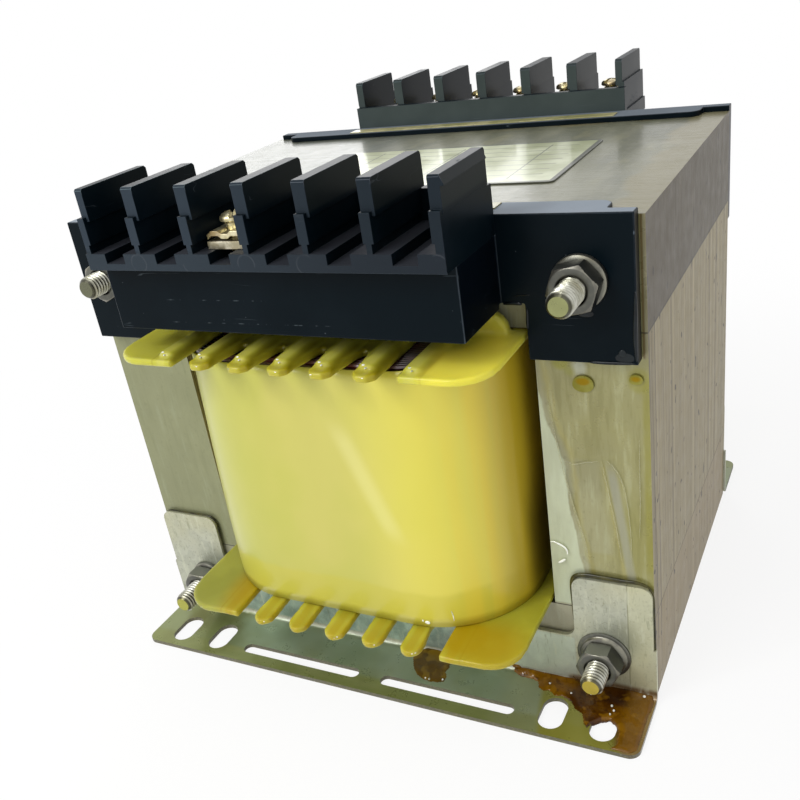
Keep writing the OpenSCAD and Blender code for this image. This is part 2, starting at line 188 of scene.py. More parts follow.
class Finish(Maker):
    """A material made round one Principled shader, its colour laid on in coats."""

    def __init__(self, name, **fixed):
        self.material = bpy.data.materials.new(name)
        self.material.use_nodes = True
        super().__init__(self.material.node_tree)
        self.tree.nodes.clear()
        self.surface = self.tree.nodes.new("ShaderNodeBsdfPrincipled")
        self.end = self.tree.nodes.new("ShaderNodeOutputMaterial")
        self.tree.links.new(self.surface.outputs[0], self.end.inputs[0])
        for label, value in fixed.items():
            self.surface.inputs[label.replace("_", " ")].default_value = value
        self.here = self.node("ShaderNodeTexCoord", out="Object")
        self.x, self.y, self.z = self.parts_of(self.here)
        facing = self.node("ShaderNodeNewGeometry", out="Normal")
        self.nx, self.ny, self.nz = self.parts_of(facing)

    def noise(self, scale, detail=2.0, rough=0.5, stretch=None, at=None):
        """Soft noise, 0 to 1; scale counts features in a metre, stretch one factor an axis."""
        place = at or self.here
        if stretch:
            place = self.vector_sum("MULTIPLY", place, stretch)
        return self.node(
            "ShaderNodeTexNoise",
            {"noise_dimensions": "3D"},
            {"Vector": place, "Scale": scale, "Detail": detail, "Roughness": rough},
        )

    def dither(self, value):
        """One random number, 0 to 1, for each whole value."""
        return self.node(
            "ShaderNodeTexWhiteNoise", {"noise_dimensions": "1D"}, {"W": value}, "Value")

    def cells(self, scale, out="Distance"):
        """Random cells: the distance from each one's middle, or its own colour."""
        return self.node("ShaderNodeTexVoronoi", None, {"Vector": self.here, "Scale": scale}, out)

    def rise(self, value, low, high):
        """0 below low, 1 above high, smooth between; it falls where low is above high."""
        return self.node(
            "ShaderNodeMapRange", {"interpolation_type": "SMOOTHSTEP"},
            {"Value": value, "From Min": low, "From Max": high},
        )

    def band(self, value, low, high, soft):
        """1 between low and high with soft edges."""
        return self.rise(value, low - soft, low + soft) * self.rise(value, high + soft, high - soft)

    def spot(self, x, y, z, radius, soft, squash=(1, 1, 1)):
        """1 inside a ball round a place in mm, 0 outside, with a soft edge."""
        away = self.vector_sum("SUBTRACT", self.here, (x * MM, y * MM, z * MM))
        if squash != (1, 1, 1):
            away = self.vector_sum("MULTIPLY", away, squash)
        far = self.vector_sum("LENGTH", away, out="Value")
        return self.rise(far, (radius + soft) * MM, (radius - soft) * MM)

    def from_bolts(self):
        """Distance from the axis of the nearest through bolt."""
        across = self.x.size() - BOLT_X
        up = (self.z - BOLT_Z["top"]).size().least((self.z - BOLT_Z["bottom"]).size())
        return (across * across + up * up).to_power(0.5)

    def blend(self, factor, first, second, way="MIX"):
        """Mixes two colours."""
        return self.node(
            "ShaderNodeMix",
            {"data_type": "RGBA", "blend_type": way, "clamp_factor": True},
            {0: factor, 6: first, 7: second}, 2)

    def begin(self, factor, first, second):
        """Begins the shade as a mix of two colours."""
        self.shade = self.blend(factor, first, second)

    def lay(self, factor, *paint):
        """Lays paint over the shade: a colour, or its red, green and blue on a screen."""
        over = tone(*paint) if len(paint) == 3 else paint[0]
        self.shade = self.blend(factor, self.shade, over)

    def dent(self, height, strength, distance_mm):
        """A bump on the surface's normal."""
        return self.node("ShaderNodeBump", None, {
            "Strength": strength, "Distance": distance_mm * MM, "Height": height})

    def done(self, **feeds):
        """Feeds the shade and the other inputs that vary over the surface."""
        for label, value in {"Base Color": self.shade, **feeds}.items():
            self.tree.links.new(value.socket, self.surface.inputs[label.replace("_", " ")])
        return self.material


class Recipe(Maker):
    """A Geometry Nodes tree with named inputs."""

    SOCKETS = {
        float: "NodeSocketFloat", int: "NodeSocketInt", "object": "NodeSocketObject",
    }

    def __init__(self, name, **inputs):
        super().__init__(bpy.data.node_groups.new(name, "GeometryNodeTree"))
        sockets = self.tree.interface
        sockets.new_socket("Geometry", in_out="INPUT", socket_type="NodeSocketGeometry")
        for label, start in inputs.items():
            kind = start if isinstance(start, str) else type(start)
            made = sockets.new_socket(
                label.replace("_", " "), in_out="INPUT", socket_type=self.SOCKETS[kind]
            )
            if not isinstance(start, str):
                made.default_value = start
        sockets.new_socket("Material", in_out="INPUT", socket_type="NodeSocketMaterial")
        sockets.new_socket("Geometry", in_out="OUTPUT", socket_type="NodeSocketGeometry")
        self.start = self.tree.nodes.new("NodeGroupInput")
        self.end = self.tree.nodes.new("NodeGroupOutput")

    def take(self, *labels):
        """The tree's own inputs: one alone, or several in a row."""
        values = [Value(self, self.start.outputs[label]) for label in labels]
        return values[0] if len(values) == 1 else values

    def place(self):
        return self.parts_of(self.node("GeometryNodeInputPosition"))

    def unit_grid(self, columns, rows):
        """A grid of points, and how far along and up each one is, 0 to 1."""
        grid = self.node("GeometryNodeMeshGrid", None, {
            "Size X": 1.0, "Size Y": 1.0, "Vertices X": columns, "Vertices Y": rows})
        x, y, _ = self.place()
        return grid, x + 0.5, y + 0.5

    def join(self, *parts):
        made = self.tree.nodes.new("GeometryNodeJoinGeometry")
        for part in reversed(parts):
            self.tree.links.new(part.socket, made.inputs[0])
        return Value(self, made.outputs[0])

    def moved(self, geometry, position):
        return self.node(
            "GeometryNodeSetPosition", None, {"Geometry": geometry, "Position": position})

    def offset(self, geometry, offset):
        return self.node(
            "GeometryNodeSetPosition", None, {"Geometry": geometry, "Offset": offset})

    def welded(self, geometry):
        return self.node(
            "GeometryNodeMergeByDistance", None, {"Geometry": geometry, "Distance": 1e-6})

    def thickened(self, skin, depth):
        """A closed shell: the skin, its far side that deep along the flipped normals, edges."""
        turned_over = self.node("GeometryNodeFlipFaces", None, {"Mesh": skin})
        grown = self.node(
            "GeometryNodeExtrudeMesh", {"mode": "FACES"},
            {"Mesh": turned_over, "Offset Scale": depth, "Individual": False},
        )
        return self.welded(self.join(skin, grown))

    def finish(self, geometry, rounded=False):
        """Ends the tree in plain, painted mesh."""
        if rounded:
            geometry = self.node("GeometryNodeSetShadeSmooth", None, {"Geometry": geometry})
        plain = self.node("GeometryNodeRealizeInstances", None, {0: geometry})
        painted = self.node(
            "GeometryNodeSetMaterial", None,
            {"Geometry": plain, "Material": self.take("Material")})
        self.tree.links.new(painted.socket, self.end.inputs[0])
        return self.tree


# ---------------------------------------------------------------- mesh helpers


def mesh_object(name, mesh):
    made = bpy.data.objects.new(name, mesh)
    bpy.context.scene.collection.objects.link(made)
    return made


def solid_object(name, verts, faces):
    """An object from points and faces, its doubles merged and its faces turned outward."""
    mesh = bpy.data.meshes.new(name)
    mesh.from_pydata([tuple(v) for v in verts], [], [tuple(f) for f in faces])
    mesh.validate()
    work = bmesh.new()
    work.from_mesh(mesh)
    bmesh.ops.remove_doubles(work, verts=work.verts, dist=1e-6)
    bmesh.ops.recalc_face_normals(work, faces=work.faces)
    work.to_mesh(mesh)
    work.free()
    return mesh_object(name, mesh)


def settle(piece):
    """Turns a piece with modifiers into plain mesh."""
    graph = bpy.context.evaluated_depsgraph_get()
    graph.update()
    plain = bpy.data.meshes.new_from_object(
        piece.evaluated_get(graph), preserve_all_data_layers=True, depsgraph=graph
    )
    piece.modifiers.clear()
    piece.data = plain
    plain.name = piece.name
    return piece


def smooth(piece, degrees=35):
    """Smooth shading with sharp edges where the faces turn more than that."""
    mesh = piece.data
    mesh.polygons.foreach_set("use_smooth", [True] * len(mesh.polygons))
    mesh.set_sharp_from_angle(angle=math.radians(degrees))
    return piece


def grow(name, tree, finish, base=None, **settings):
    """Runs a Geometry Nodes tree and keeps the plain mesh that it makes."""
    piece = mesh_object(name, base or bpy.data.meshes.new(name))
    modifier = piece.modifiers.new("Shape", "NODES")
    modifier.node_group = tree
    settings["Material"] = finish_named(finish)
    known = {s.name: s for s in tree.interface.items_tree if s.in_out == "INPUT"}
    for label, value in settings.items():
        modifier[known[label.replace("_", " ")].identifier] = value
    settle(piece)
    if not len(piece.data.polygons):
        raise RuntimeError(name + " came out empty")
    return piece


def show(piece, slot, *nodes):
    """Hides the CAD nodes that a piece stands in for, and lets it ride on the one body; slot is not
    used.
    """
    if nodes:
        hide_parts(*nodes)
    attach(piece, "root")
    return piece


def joined(name, parts, finish):
    """One piece from several objects, which are taken away."""
    work = bmesh.new()
    for part in parts:
        work.from_mesh(part.data)
        bpy.data.objects.remove(part)
    mesh = bpy.data.meshes.new(name)
    work.to_mesh(mesh)
    work.free()
    mesh.materials.append(finish_named(finish))
    return mesh_object(name, mesh)


def node_copy(name, node, flatten):
    """A copy of a CAD node's mesh without doubles; flatten joins the triangles of flat faces."""
    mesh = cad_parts[node].data.copy()
    mesh.name = name
    mesh.materials.clear()
    if "custom_normal" in mesh.attributes:
        mesh.attributes.remove(mesh.attributes["custom_normal"])
    work = bmesh.new()
    work.from_mesh(mesh)
    bmesh.ops.remove_doubles(work, verts=work.verts, dist=2e-6)
    if flatten:
        bmesh.ops.dissolve_limit(
            work, angle_limit=math.radians(0.6), verts=work.verts, edges=work.edges)
        for part in (*work.faces, *work.edges):
            part.smooth = True
    work.to_mesh(mesh)
    work.free()
    return mesh_object(name, mesh)


def dressed(name, node, finishes, bevel_mm, segments=2):
    """A CAD node's shape with soft edges, which take the second finish if there is one."""
    piece = node_copy(name, node, flatten=True)
    for finish in finishes:
        piece.data.materials.append(finish_named(finish))
    cut = piece.modifiers.new("Edges", "BEVEL")
    cut.width = bevel_mm * MM
    cut.segments = segments
    cut.limit_method = "ANGLE"
    cut.angle_limit = math.radians(30)
    cut.harden_normals = True
    cut.use_clamp_overlap = True
    cut.miter_outer = "MITER_ARC"
    if len(finishes) > 1:
        cut.material = 1
    return settle(piece)


def softened(name, node, finish, grain, shape):
    """A CAD node's shape with every edge rounded, as a thick coat of varnish leaves it."""
    piece = node_copy(name, node, flatten=False)
    grid = piece.modifiers.new("Grid", "REMESH")
    grid.mode = "VOXEL"
    grid.voxel_size = grain
    ease = piece.modifiers.new("Ease", "SMOOTH")
    ease.factor, ease.iterations = 0.5, 5
    piece.modifiers.new("Thin", "DECIMATE").ratio = 0.4
    mesh = settle(piece).data
    shape(mesh)
    mesh.materials.clear()
    mesh.materials.append(finish_named(finish))
    mesh.polygons.foreach_set("use_smooth", [True] * len(mesh.polygons))
    return piece


# ---------------------------------------------------------------- sizes and colours


def length(name, description, default, high=200):
    return bpy.props.FloatProperty(
        name=name, description=description, default=default * MM, min=0.0, max=high * MM,
        subtype="DISTANCE", unit="LENGTH", precision=5)


def colour(name, description, default):
    return bpy.props.FloatVectorProperty(
        name=name, description=description, default=default, size=3, min=0.0, max=1.0,
        subtype="COLOR")


def power(name, description, default, high=50.0):
    return bpy.props.FloatProperty(
        name=name, description=description, default=default, min=0.0, max=high, unit="POWER")


def angle(name, description, degrees):
    return bpy.props.FloatProperty(
        name=name, description=description, default=math.radians(degrees),
        subtype="ANGLE", unit="ROTATION")


class TransformerSizes(bpy.types.PropertyGroup):
    """Sizes that only the looks use; the rest come from the CAD frame."""

    sheet: length("Core sheet", "Thickness of one core sheet", 0.5)
    sheet_play: length("Sheet play", "How far a core sheet may sit out of line", 0.008)
    joint_gap: length("Core joint", "Gap between the limb sheets and the yokes", 0.05)
    wire: length("Wire", "Diameter of the winding's wire over its enamel", 1.1)
    film: length("Film", "Thickness of the wrapped film at its edge", 0.35)
    thread_pitch: length("Thread pitch", "Pitch of the through bolts' thread", 1.0)
    thread_depth: length("Thread depth", "Depth of the through bolts' thread", 0.55)
    nut_flats: length("Nut flats", "Distance across the flats of nuts and bolt heads", 10.0)
    plastic_edge: length("Plastic edge", "Rounding of the mouldings' edges", 0.28)
    metal_edge: length("Metal edge", "Rounding of the folded sheet's edges", 0.15)
    bobbin_grain: length("Bobbin grain", "Size of the grid that rounds the bobbin's edges", 0.5)


class TransformerColours(bpy.types.PropertyGroup):
    """The main colour of each finish."""

    steel: colour("Core face", "Varnished face of the core", tone(154, 152, 122))
    sheet_edge: colour("Core edge", "Cut edges of the core's sheets", tone(150, 141, 117))
    varnish: colour("Varnish", "Clear yellow varnish where it lies thin", tone(172, 160, 84))
    pooled: colour("Pooled varnish", "Varnish where it has pooled", tone(108, 70, 2))
    zinc: colour("Zinc sheet", "Zinc coat of the feet", tone(188, 190, 172))
    plastic: colour("Moulding", "Black plastic of brackets and rails", tone(5, 16, 22))
    bobbin: colour("Bobbin", "Translucent bobbin under varnish", tone(162, 159, 48))
    film: colour("Wrap film", "Yellow film round the winding", tone(190, 188, 80))
    enamel: colour("Wire enamel", "Dark red enamel of the wire", tone(70, 22, 22))
    plated: colour("Plated steel", "Bolts and their threads", tone(156, 155, 138))
    nut: colour("Nuts", "Nuts and washers", tone(112, 110, 102))
    brass: colour("Plated brass", "Terminal screws and clamps", tone(186, 174, 128))
    plate: colour("Nameplate", "Bare foil of the nameplate", tone(158, 164, 120))


class TransformerStage(bpy.types.PropertyGroup):
    """Floor, lamps and camera."""

    floor: colour("Floor", "Colour of the floor", tone(250, 250, 250))
    fill: bpy.props.FloatProperty(
        name="Fill light", description="Strength of the even light from all sides",
        default=0.6, min=0.0, max=2.0)
    key: power("Key lamp", "Power of the large lamp overhead", 3.6)
    glint: power("Glint lamps", "Power of the two small lamps that glint in varnish", 0.4, 10.0)
    rear: power("Rear lamp", "Power of the lamp behind the object", 1.2)
    azimuth: angle("Camera azimuth", "Angle of the camera round the object", 30.267)
    elevation: angle("Camera elevation", "Angle of the camera above the floor", 26.842)
    roll: angle("Camera roll", "Turn of the camera about its own axis", -9.151)
    distance: length("Camera distance", "Distance from the camera to its aim", 301.16, 2000)
    aim: bpy.props.FloatVectorProperty(
        name="Camera aim", description="Point that the camera is set round",
        default=(-0.01623, 0.0, 0.04243), size=3, subtype="XYZ", unit="LENGTH")
    lens: bpy.props.FloatProperty(
        name="Camera lens", description="Focal length in millimetres", default=41.63)


SIZES = COLOURS = STAGE = None


def settings():
    """Picks up the property groups of the scene."""
    global SIZES, COLOURS, STAGE
    scene = bpy.context.scene
    SIZES, COLOURS, STAGE = (
        scene.transformer_sizes, scene.transformer_colours, scene.transformer_stage
    )


# ---------------------------------------------------------------- finishes


FINISHES = {}


def finish_named(name):
    """A finish, made once."""
    if name not in FINISHES:
        FINISHES[name] = FINISH_MAKERS[name](name)
    return FINISHES[name]


def mottled(name, cloud, low, high, first, second, **fixed):
    """A finish begun as two colours that a cloud of noise mixes, and that cloud."""
    f = Finish(name, **fixed)
    cloud = f.noise(*cloud)
    f.begin(f.rise(cloud, low, high), first, second)
    return f, cloud


def core_finish(name):
    """Sheet steel under varnish: mottled faces, lined edges, olive runs on the right limb."""
    f = Finish(name, Metallic=0.25, Coat_Roughness=0.16, Specular_IOR_Level=0.3)
    face = f.rise(f.ny.size(), 0.5, 0.7)
    top = f.rise(f.nz, 0.5, 0.7)
    grain = f.noise(900, 3, 0.6)
    drawn = f.noise(520, 3, 0.6, (1, 1, 0.13))
    shown, olive, rims = core_faces(f, grain, drawn)
    cut, stripe, lined = core_edges(f)
    above = core_top(f, grain)
    f.begin(face, cut, shown)
    f.lay(top, above)
    joints = f.rise((f.z - WINDOW_LOW).size(), 0.00022, 0.00008).most(
        f.rise((f.z - WINDOW_HIGH).size(), 0.00022, 0.00008))
    f.lay(joints * 0.8, 52, 46, 38)
    relief = stripe * 0.6 * (1 - top * 0.9) * lined + grain * 0.5 + drawn * 0.4
    return f.done(
        Metallic=0.25 - f.rise(f.nx.size(), 0.5, 0.7) * 0.17,
        Roughness=0.36 + f.noise(240, 3) * 0.22 - olive * face * 0.2 - top * 0.08,
        Coat_Weight=(0.08 + olive * face * 0.7 + top * 0.35).least(1.0),
        Normal=f.dent(relief + rims * 0.8 + olive * 0.8, 0.35, 0.12))


def core_faces(f, grain, drawn):
    """Front and back of the core: grey sheet, and olive varnish down the right limb."""
    mottle = f.noise(55, 4, 0.6)
    f.begin(f.rise(mottle, 0.35, 0.65), scaled(COLOURS.steel, 0.9), scaled(COLOURS.steel, 1.1))
    f.lay(f.rise(drawn, 0.52, 0.72) * 0.5, 178, 182, 158)
    f.lay(f.rise(drawn, 0.46, 0.3) * 0.4, 124, 122, 92)
    f.lay(f.rise(grain, 0.58, 0.72) * 0.35, 112, 108, 80)
    f.lay(f.rise(f.x, -0.046, -0.052) * 0.6, 130, 135, 99)
    # the varnish's slanting left edge, a thinner patch and a bare slit in it
    wander = (mottle - 0.5) * 0.006
    slope = f.x - 0.0576 + (f.z - 0.057) * 0.17 + wander
    runs = f.rise(slope, -0.0006, 0.0012) * f.rise(f.y, -0.04, -0.05)
    patch = (f.band(f.x + (f.z - 0.055) * 0.1, 0.058, 0.0655, 0.0012)
             * f.band(f.z + wander * 0.6, 0.044, 0.0688, 0.0008))
    slit = (f.band(f.x + (f.z - 0.05) * 0.13, 0.0683, 0.0703, 0.0006)
            * f.band(f.z, 0.03, 0.067, 0.003))
    olive = runs * (1 - patch * 0.55) * (1 - slit * 0.9)
    olive = (olive * (0.62 + f.noise(160, 3) * 0.5)).least(1.0)
    olive = (olive * (0.72 + drawn * 0.5)).least(1.0)
    f.lay(olive * 0.78, 147, 142, 80)
    f.lay(runs * f.rise(f.x, 0.066, 0.072) * f.rise(f.z, 0.07, 0.05) * 0.7, 142, 138, 72)
    slit_rim = (f.x + (f.z - 0.05) * 0.13 - 0.0676).size()
    rims = (runs * f.rise((slope - 0.0014).size(), 0.0012, 0.0)
            + f.rise(slit_rim, 0.0009, 0.0) * f.band(f.z, 0.034, 0.0685, 0.001) * runs)
    f.lay(rims.least(1.0) * 0.28, COLOURS.varnish)
    f.lay(olive * f.rise(drawn, 0.52, 0.68) * 0.4, 178, 178, 138)
    f.lay(olive * f.rise(drawn, 0.48, 0.34) * 0.4, 124, 119, 62)
    # the steel left of the varnish's edge, painted pale: partly its own bare grain, partly a
    # painted reflection
    bare = (f.rise(slope, -0.0008, -0.0014) * f.rise(f.x, 0.0502, 0.0506)
            * f.band(f.z, LOWER_YOKE[0], UPPER_YOKE[0], 0.0004))
    f.lay(bare * (0.3 + mottle * 0.4 + drawn * 0.3), 204, 213, 186)
    f.lay(slit * runs * 0.6, 158, 158, 140)
    f.lay(f.rise(f.z, *LOWER_YOKE) * 0.5, 168, 164, 148)
    core_stains(f)
    return f.shade, olive, rims


def core_stains(f):
    """Olive and amber stains of dripped varnish on the right limb's front, and one painted
    highlight.
    """
    front = f.rise(f.y, -0.0495, -0.051)
    for x, z, radius, soft, flat, mix, paint in (
        (61.7, 89.1, 2.6, 0.4, 1.15, 0.8, (136, 132, 56)),
        # a pale painted highlight on the varnish, not a stain
        (60.9, 92.9, 1.5, 0.8, 0.9, 0.65, (178, 182, 166)),
        (61.7, 89.8, 1.8, 0.7, 1.8, 0.9, (134, 104, 8)),
        (61.7, 89.4, 0.8, 0.5, 1.4, 0.6, (156, 112, 2)),
        (56.6, 94.0, 1.9, 0.8, 1.1, 0.8, (142, 140, 28)),
        (58.6, 92.0, 1.1, 0.8, 1, 0.6, (138, 138, 50)),
        (74.0, 90.6, 2.4, 0.6, 0.8, 0.7, (142, 138, 52)),
        (73.4, 91.2, 1.2, 0.4, 1.7, 0.95, (136, 100, 4)),
    ):
        f.lay(f.spot(x, -51.25, z, radius, soft, (1, 0, flat)) * front * mix, *paint)
    edge = f.rise(f.x, 0.0742, 0.0752) * f.band(f.z, 0.04, 0.0905, 0.002) * front
    f.lay(edge * (0.3 + f.noise(220, 2) * 0.6), 136, 131, 34)
    strip = f.rise(f.x, 0.0749, 0.0751) * f.rise(f.z, 0.0955, 0.0962) * front
    f.lay(strip * 0.7, 142, 133, 104)
    f.lay(f.rise((f.x - 0.0753).size(), 0.00035, 0.0001) * strip * 0.8, 104, 84, 34)


def core_edges(f):
    """The stacked sheets' cut edges, lined and streaked, darker along the upper yoke."""
    edge = tuple(COLOURS.sheet_edge)
    stripe = f.dither((f.y / SIZES.sheet).floor())
    group = f.noise(1.0, 2, 0.6, at=f.vector(0.0, f.y * 260.0, 0.0))
    streak = f.noise(300, 3, 0.6, (0.12, 3.2, 0.12))
    upper = f.rise(f.z, *UPPER_YOKE)
    lined = 1 - upper * 0.75
    f.begin(f.rise(stripe, 0.1, 0.9) * lined * 0.22, edge, scaled(edge, 0.62))
    f.lay(f.rise(group, 0.5, 0.62) * lined * 0.6, 172, 162, 136)
    f.lay(f.rise(group, 0.46, 0.34) * lined * 0.6, 106, 96, 76)
    f.lay(f.rise(streak, 0.5, 0.72) * lined * 0.4, 172, 163, 138)
    f.lay(f.rise(streak, 0.46, 0.26) * lined * 0.45, 100, 91, 73)
    f.lay(upper * 0.95, 74, 65, 50)
    f.lay(upper * f.rise(f.noise(90, 4, 0.65), 0.52, 0.72) * 0.2, 112, 102, 82)
    f.lay(f.rise(f.z, *LOWER_YOKE) * 0.45, 152, 136, 112)
    gaps = f.rise(f.noise(1.0, 1, 0.5, at=f.vector(f.z * 14.0, f.y * 900.0, 0.0)), 0.56, 0.64)
    near = f.rise(f.y, -0.030, -0.046)
    f.lay(gaps * near * (1 - upper * 0.6) * 0.75, 74, 63, 49)
    f.shade = f.blend(1.0, f.shade, (0.97, 0.91, 0.74), "MULTIPLY")
    specks = f.rise(f.noise(300, 1, 0.5, (1, 1.3, 0.9)), 0.705, 0.72)
    f.lay(specks * 0.85, 40, 27, 12)
    return f.shade, stripe, lined


def core_top(f, grain):
    """Top of the core: grey-olive, cloudy with varnish, paler to the right and at the back."""
    film = f.noise(46, 4, 0.6, (1.8, 0.55, 1))
    f.begin(f.rise(film, 0.36, 0.66), tone(95, 97, 77), tone(123, 123, 102))
    f.lay(f.rise(f.noise(80, 3, 0.5, (1.5, 0.6, 1)), 0.58, 0.7) * 0.3, 150, 146, 108)
    f.lay(f.rise(grain, 0.6, 0.7) * 0.25, 168, 168, 150)
    f.lay(f.rise(f.x, -0.005, -0.03) * 0.6, 92, 98, 94)
    ragged = (f.noise(70, 3) - 0.5) * 0.014
    pale = f.rise(f.x + ragged, 0.0655, 0.069).most(
        f.rise(f.y + ragged - f.x * 0.1, 0.0395, 0.0425) * f.rise(f.x, 0.0, 0.03))
    f.lay(pale * 0.75, 132, 124, 90)
    return f.shade


def zinc_finish(name):
    """Zinc-coated sheet: spangle, olive stain on the soles, varnish near one corner, painted light
    and shade.
    """
    f = Finish(name, Metallic=0.55, Coat_Roughness=0.12)
    tint = f.parts_of(f.cells(420, "Color"))[0]
    fleck = f.noise(1500, 2, 0.6)
    stain = f.noise(26, 3, 0.6, (1, 0.6, 1))
    front = f.rise(f.y, 0.0, -0.01)
    flat = f.rise(f.nz, 0.5, 0.8) * f.rise(f.z, 0.004, 0.002)
    sole = zinc_sole(f, stain, front)
    f.begin(f.rise(tint, 0.1, 0.9) * 0.4, COLOURS.zinc, scaled(COLOURS.zinc, 0.8))
    f.lay(f.rise(fleck, 0.56, 0.7) * 0.45, 132, 132, 118)
    f.lay(f.rise(f.noise(40, 3, 0.55), 0.45, 0.65) * 0.35, 196, 190, 140)
    f.lay(flat, sole)
    # the web between the tabs, painted paler towards the right tab as a sheen, and a painted
    # highlight along its fold
    web = f.rise(f.x.size(), 0.0562, 0.0555) * f.band(f.z, 0.003, 0.0165, 0.0003)
    f.lay(web * 0.85, f.blend(
        f.rise(f.noise(150, 4, 0.7), 0.38, 0.64), tone(130, 152, 143), tone(176, 196, 185)))
    f.lay(web * f.rise(f.x, 0.034, 0.04) * 0.6, 212, 216, 200)
    fold = (f.band(f.z, 0.0014, 0.0019, 0.00015) * f.band(f.y, -0.0533, -0.051, 0.0004)
            * f.rise(f.noise(210, 2), 0.46, 0.58))
    f.lay(fold * 0.6, 206, 214, 196)
    # stain under the pool of varnish and along its rim
    wander = (f.noise(120, 3) - 0.5) * 0.012
    corner = f.x + (f.y + 0.06) * 0.9 + wander
    pool = f.rise(corner, 0.0605, 0.0625) * front * f.rise(f.z, 0.0046, 0.003)
    ridge = f.rise((corner - 0.0605).size(), 0.0022, 0.0002) * flat * front
    f.lay(ridge * 0.8, 122, 118, 40)
    f.lay(pool * 0.85, COLOURS.pooled)
    # a creased line down the right tab, darkened as painted shade, paler sheet beyond it, and a
    # painted shadow under the nuts
    upright = f.rise(f.z, 0.003, 0.005)
    painted_streak = f.rise((f.x - 0.07).size(), 0.00022, 0.0001) * upright * front
    f.lay(painted_streak * 0.6, 120, 118, 92)
    f.lay(f.rise(f.x, 0.0698, 0.0702) * upright * front * 0.35, 206, 204, 160)
    for side in (-1, 1):
        f.lay(f.spot(side * 63.5 + 4, -52.5, 19, 5.5, 3.5) * front * 0.5, 112, 116, 100)
    drawn = f.noise(700, 3, 0.65, (1, 1, 0.2))
    f.lay(f.rise(drawn, 0.56, 0.7) * (1 - flat) * 0.5, 206, 208, 186)
    f.lay(f.rise(drawn, 0.42, 0.3) * (1 - flat) * 0.45, 130, 132, 104)
    walls = f.rise(f.z, 0.00135, 0.0012) * f.rise(f.nz.size(), 0.6, 0.4)
    f.lay(walls * 0.85, f.blend(f.rise(fleck, 0.5, 0.62), tone(66, 60, 34), tone(104, 100, 66)))
    return f.done(
        Roughness=0.34 + tint * 0.12 + fleck * 0.1 - flat * 0.12 - pool * 0.12,
        Coat_Weight=(flat * 0.35 + pool * 0.6).least(1.0),
        Metallic=0.55 - walls * 0.45 - flat * 0.2,
        Normal=f.dent((tint * 0.3 + fleck * 0.4) * (1 - flat) - painted_streak * 1.5, 0.22, 0.1))


def zinc_sole(f, stain, front):
    """The feet's soles: grey-green under a thin stain, olive along their edges and ends."""
    f.begin(f.rise(stain, 0.28, 0.72), tone(124, 140, 108), tone(158, 170, 146))
    f.lay(f.rise(f.noise(50, 3), 0.42, 0.74) * 0.5, 114, 122, 62)
    brim = f.rise(f.y.size() + (stain - 0.5) * 0.003, 0.0665, 0.0685)
    f.lay(brim * 0.8, 126, 133, 66)
    rubbed = f.noise(95, 3, 0.6, (0.35, 1.6, 1))
    f.lay(brim * f.rise(rubbed, 0.5, 0.7) * 0.45, 150, 154, 106)
    f.lay(f.rise(f.x, -0.046, -0.06) * 0.75, 124, 131, 66)
    f.lay(f.rise(f.x, 0.034, 0.042) * 0.5, 142, 146, 108)
    slots = f.rise(f.x + (f.y + 0.06) * 0.25 + (stain - 0.5) * 0.008, 0.0478, 0.0502) * front
    f.lay(slots * 0.85, 140, 136, 38)
    ring = f.spot(-61.0, -63.5, 0.0, 12.5, 3.0, (1, 0.8, 0)) * f.rise(f.x, -0.046, -0.05)
    f.lay(ring * f.rise(f.noise(80, 2), 0.4, 0.66) * 0.6, 96, 92, 22)
    return f.shade


def zinc_edge_finish(name):
    """Sheared edge of the zinc sheet."""
    f, drawn = mottled(name, (700, 3, 0.6, (1, 1, 0.2)), 0.4, 0.62, tone(112, 110, 82),
                       tone(170, 168, 140), Metallic=0.6)
    f.lay(f.rise(f.noise(90, 3), 0.42, 0.54) * 0.8, 62, 62, 34)
    low = f.rise(f.z, 0.0016, 0.0013)
    f.lay(low * (0.95 - f.rise(f.noise(600, 2), 0.6, 0.68) * 0.5), 62, 64, 38)
    return f.done(Metallic=0.6 - low * 0.5, Roughness=0.3 + drawn * 0.2,
                  Normal=f.dent(drawn, 0.2, 0.06))


def scratches(f):
    """Fine straight scratches that come and go."""
    line = f.noise(70, 2, 0.5, (0.25, 1, 3.0))
    thin = f.rise((line - 0.5).size(), 0.006, 0.0015)
    return thin * f.rise(f.noise(75, 2, 0.6, (1, 1, 2)), 0.6, 0.68)


def plastic_finish(name):
    """Black moulding: dark, half gloss, dust specks, faint scratches, painted shade and a painted
    sheen.
    """
    f, cloud = mottled(
        name, (38, 3, 0.6), 0.4, 0.66, COLOURS.plastic, tone(9, 20, 26), Specular_IOR_Level=0.07)
    # painted shade: the sides that face to the right are painted darker
    flank = f.rise(f.nx, 0.6, 0.9)
    f.lay(flank * 0.7, 2, 5, 14)
    back = f.rise(f.y, 0.0, 0.01)
    # painted sheen: the up-facing lip tops painted pale bluish grey, less so at the back
    above = f.rise(f.nz, 0.6, 0.9) * f.rise(f.z, 0.127, 0.1276)
    f.lay(above * (0.7 + cloud * 0.3) * (1 - back * 0.4), 152, 162, 173)
    front = f.rise(f.ny, -0.6, -0.9) * f.rise(f.y, -0.07, -0.074)
    scrape = scratches(f) * (1 - above)
    for z, low, high in ((0.1158, -0.0305, -0.001), (0.1103, -0.0295, 0.0142)):
        dashes = f.rise(f.noise(260, 3, 0.7, (1, 0, 0)), 0.5, 0.62)
        line = f.rise((f.z - z - (f.x - low) * 0.012).size(), 0.00014, 0.00005)
        scrape = scrape.most(line * f.band(f.x, low, high, 0.001) * dashes * front)
    f.lay(scrape * 0.42, 96, 106, 112)
    speck = f.rise(f.cells(330), 0.055, 0.03) * f.rise(f.noise(60, 1), 0.52, 0.62)
    f.lay(speck * 0.5 * (1 - flank), 112, 120, 126)
    return f.done(
        Roughness=0.24 + cloud * 0.12 + (scrape + speck) * 0.3 + above * (0.26 + back * 0.26),
        Normal=f.dent(f.noise(500, 2) * 0.4 + scrape * 0.8, 0.08, 0.05))


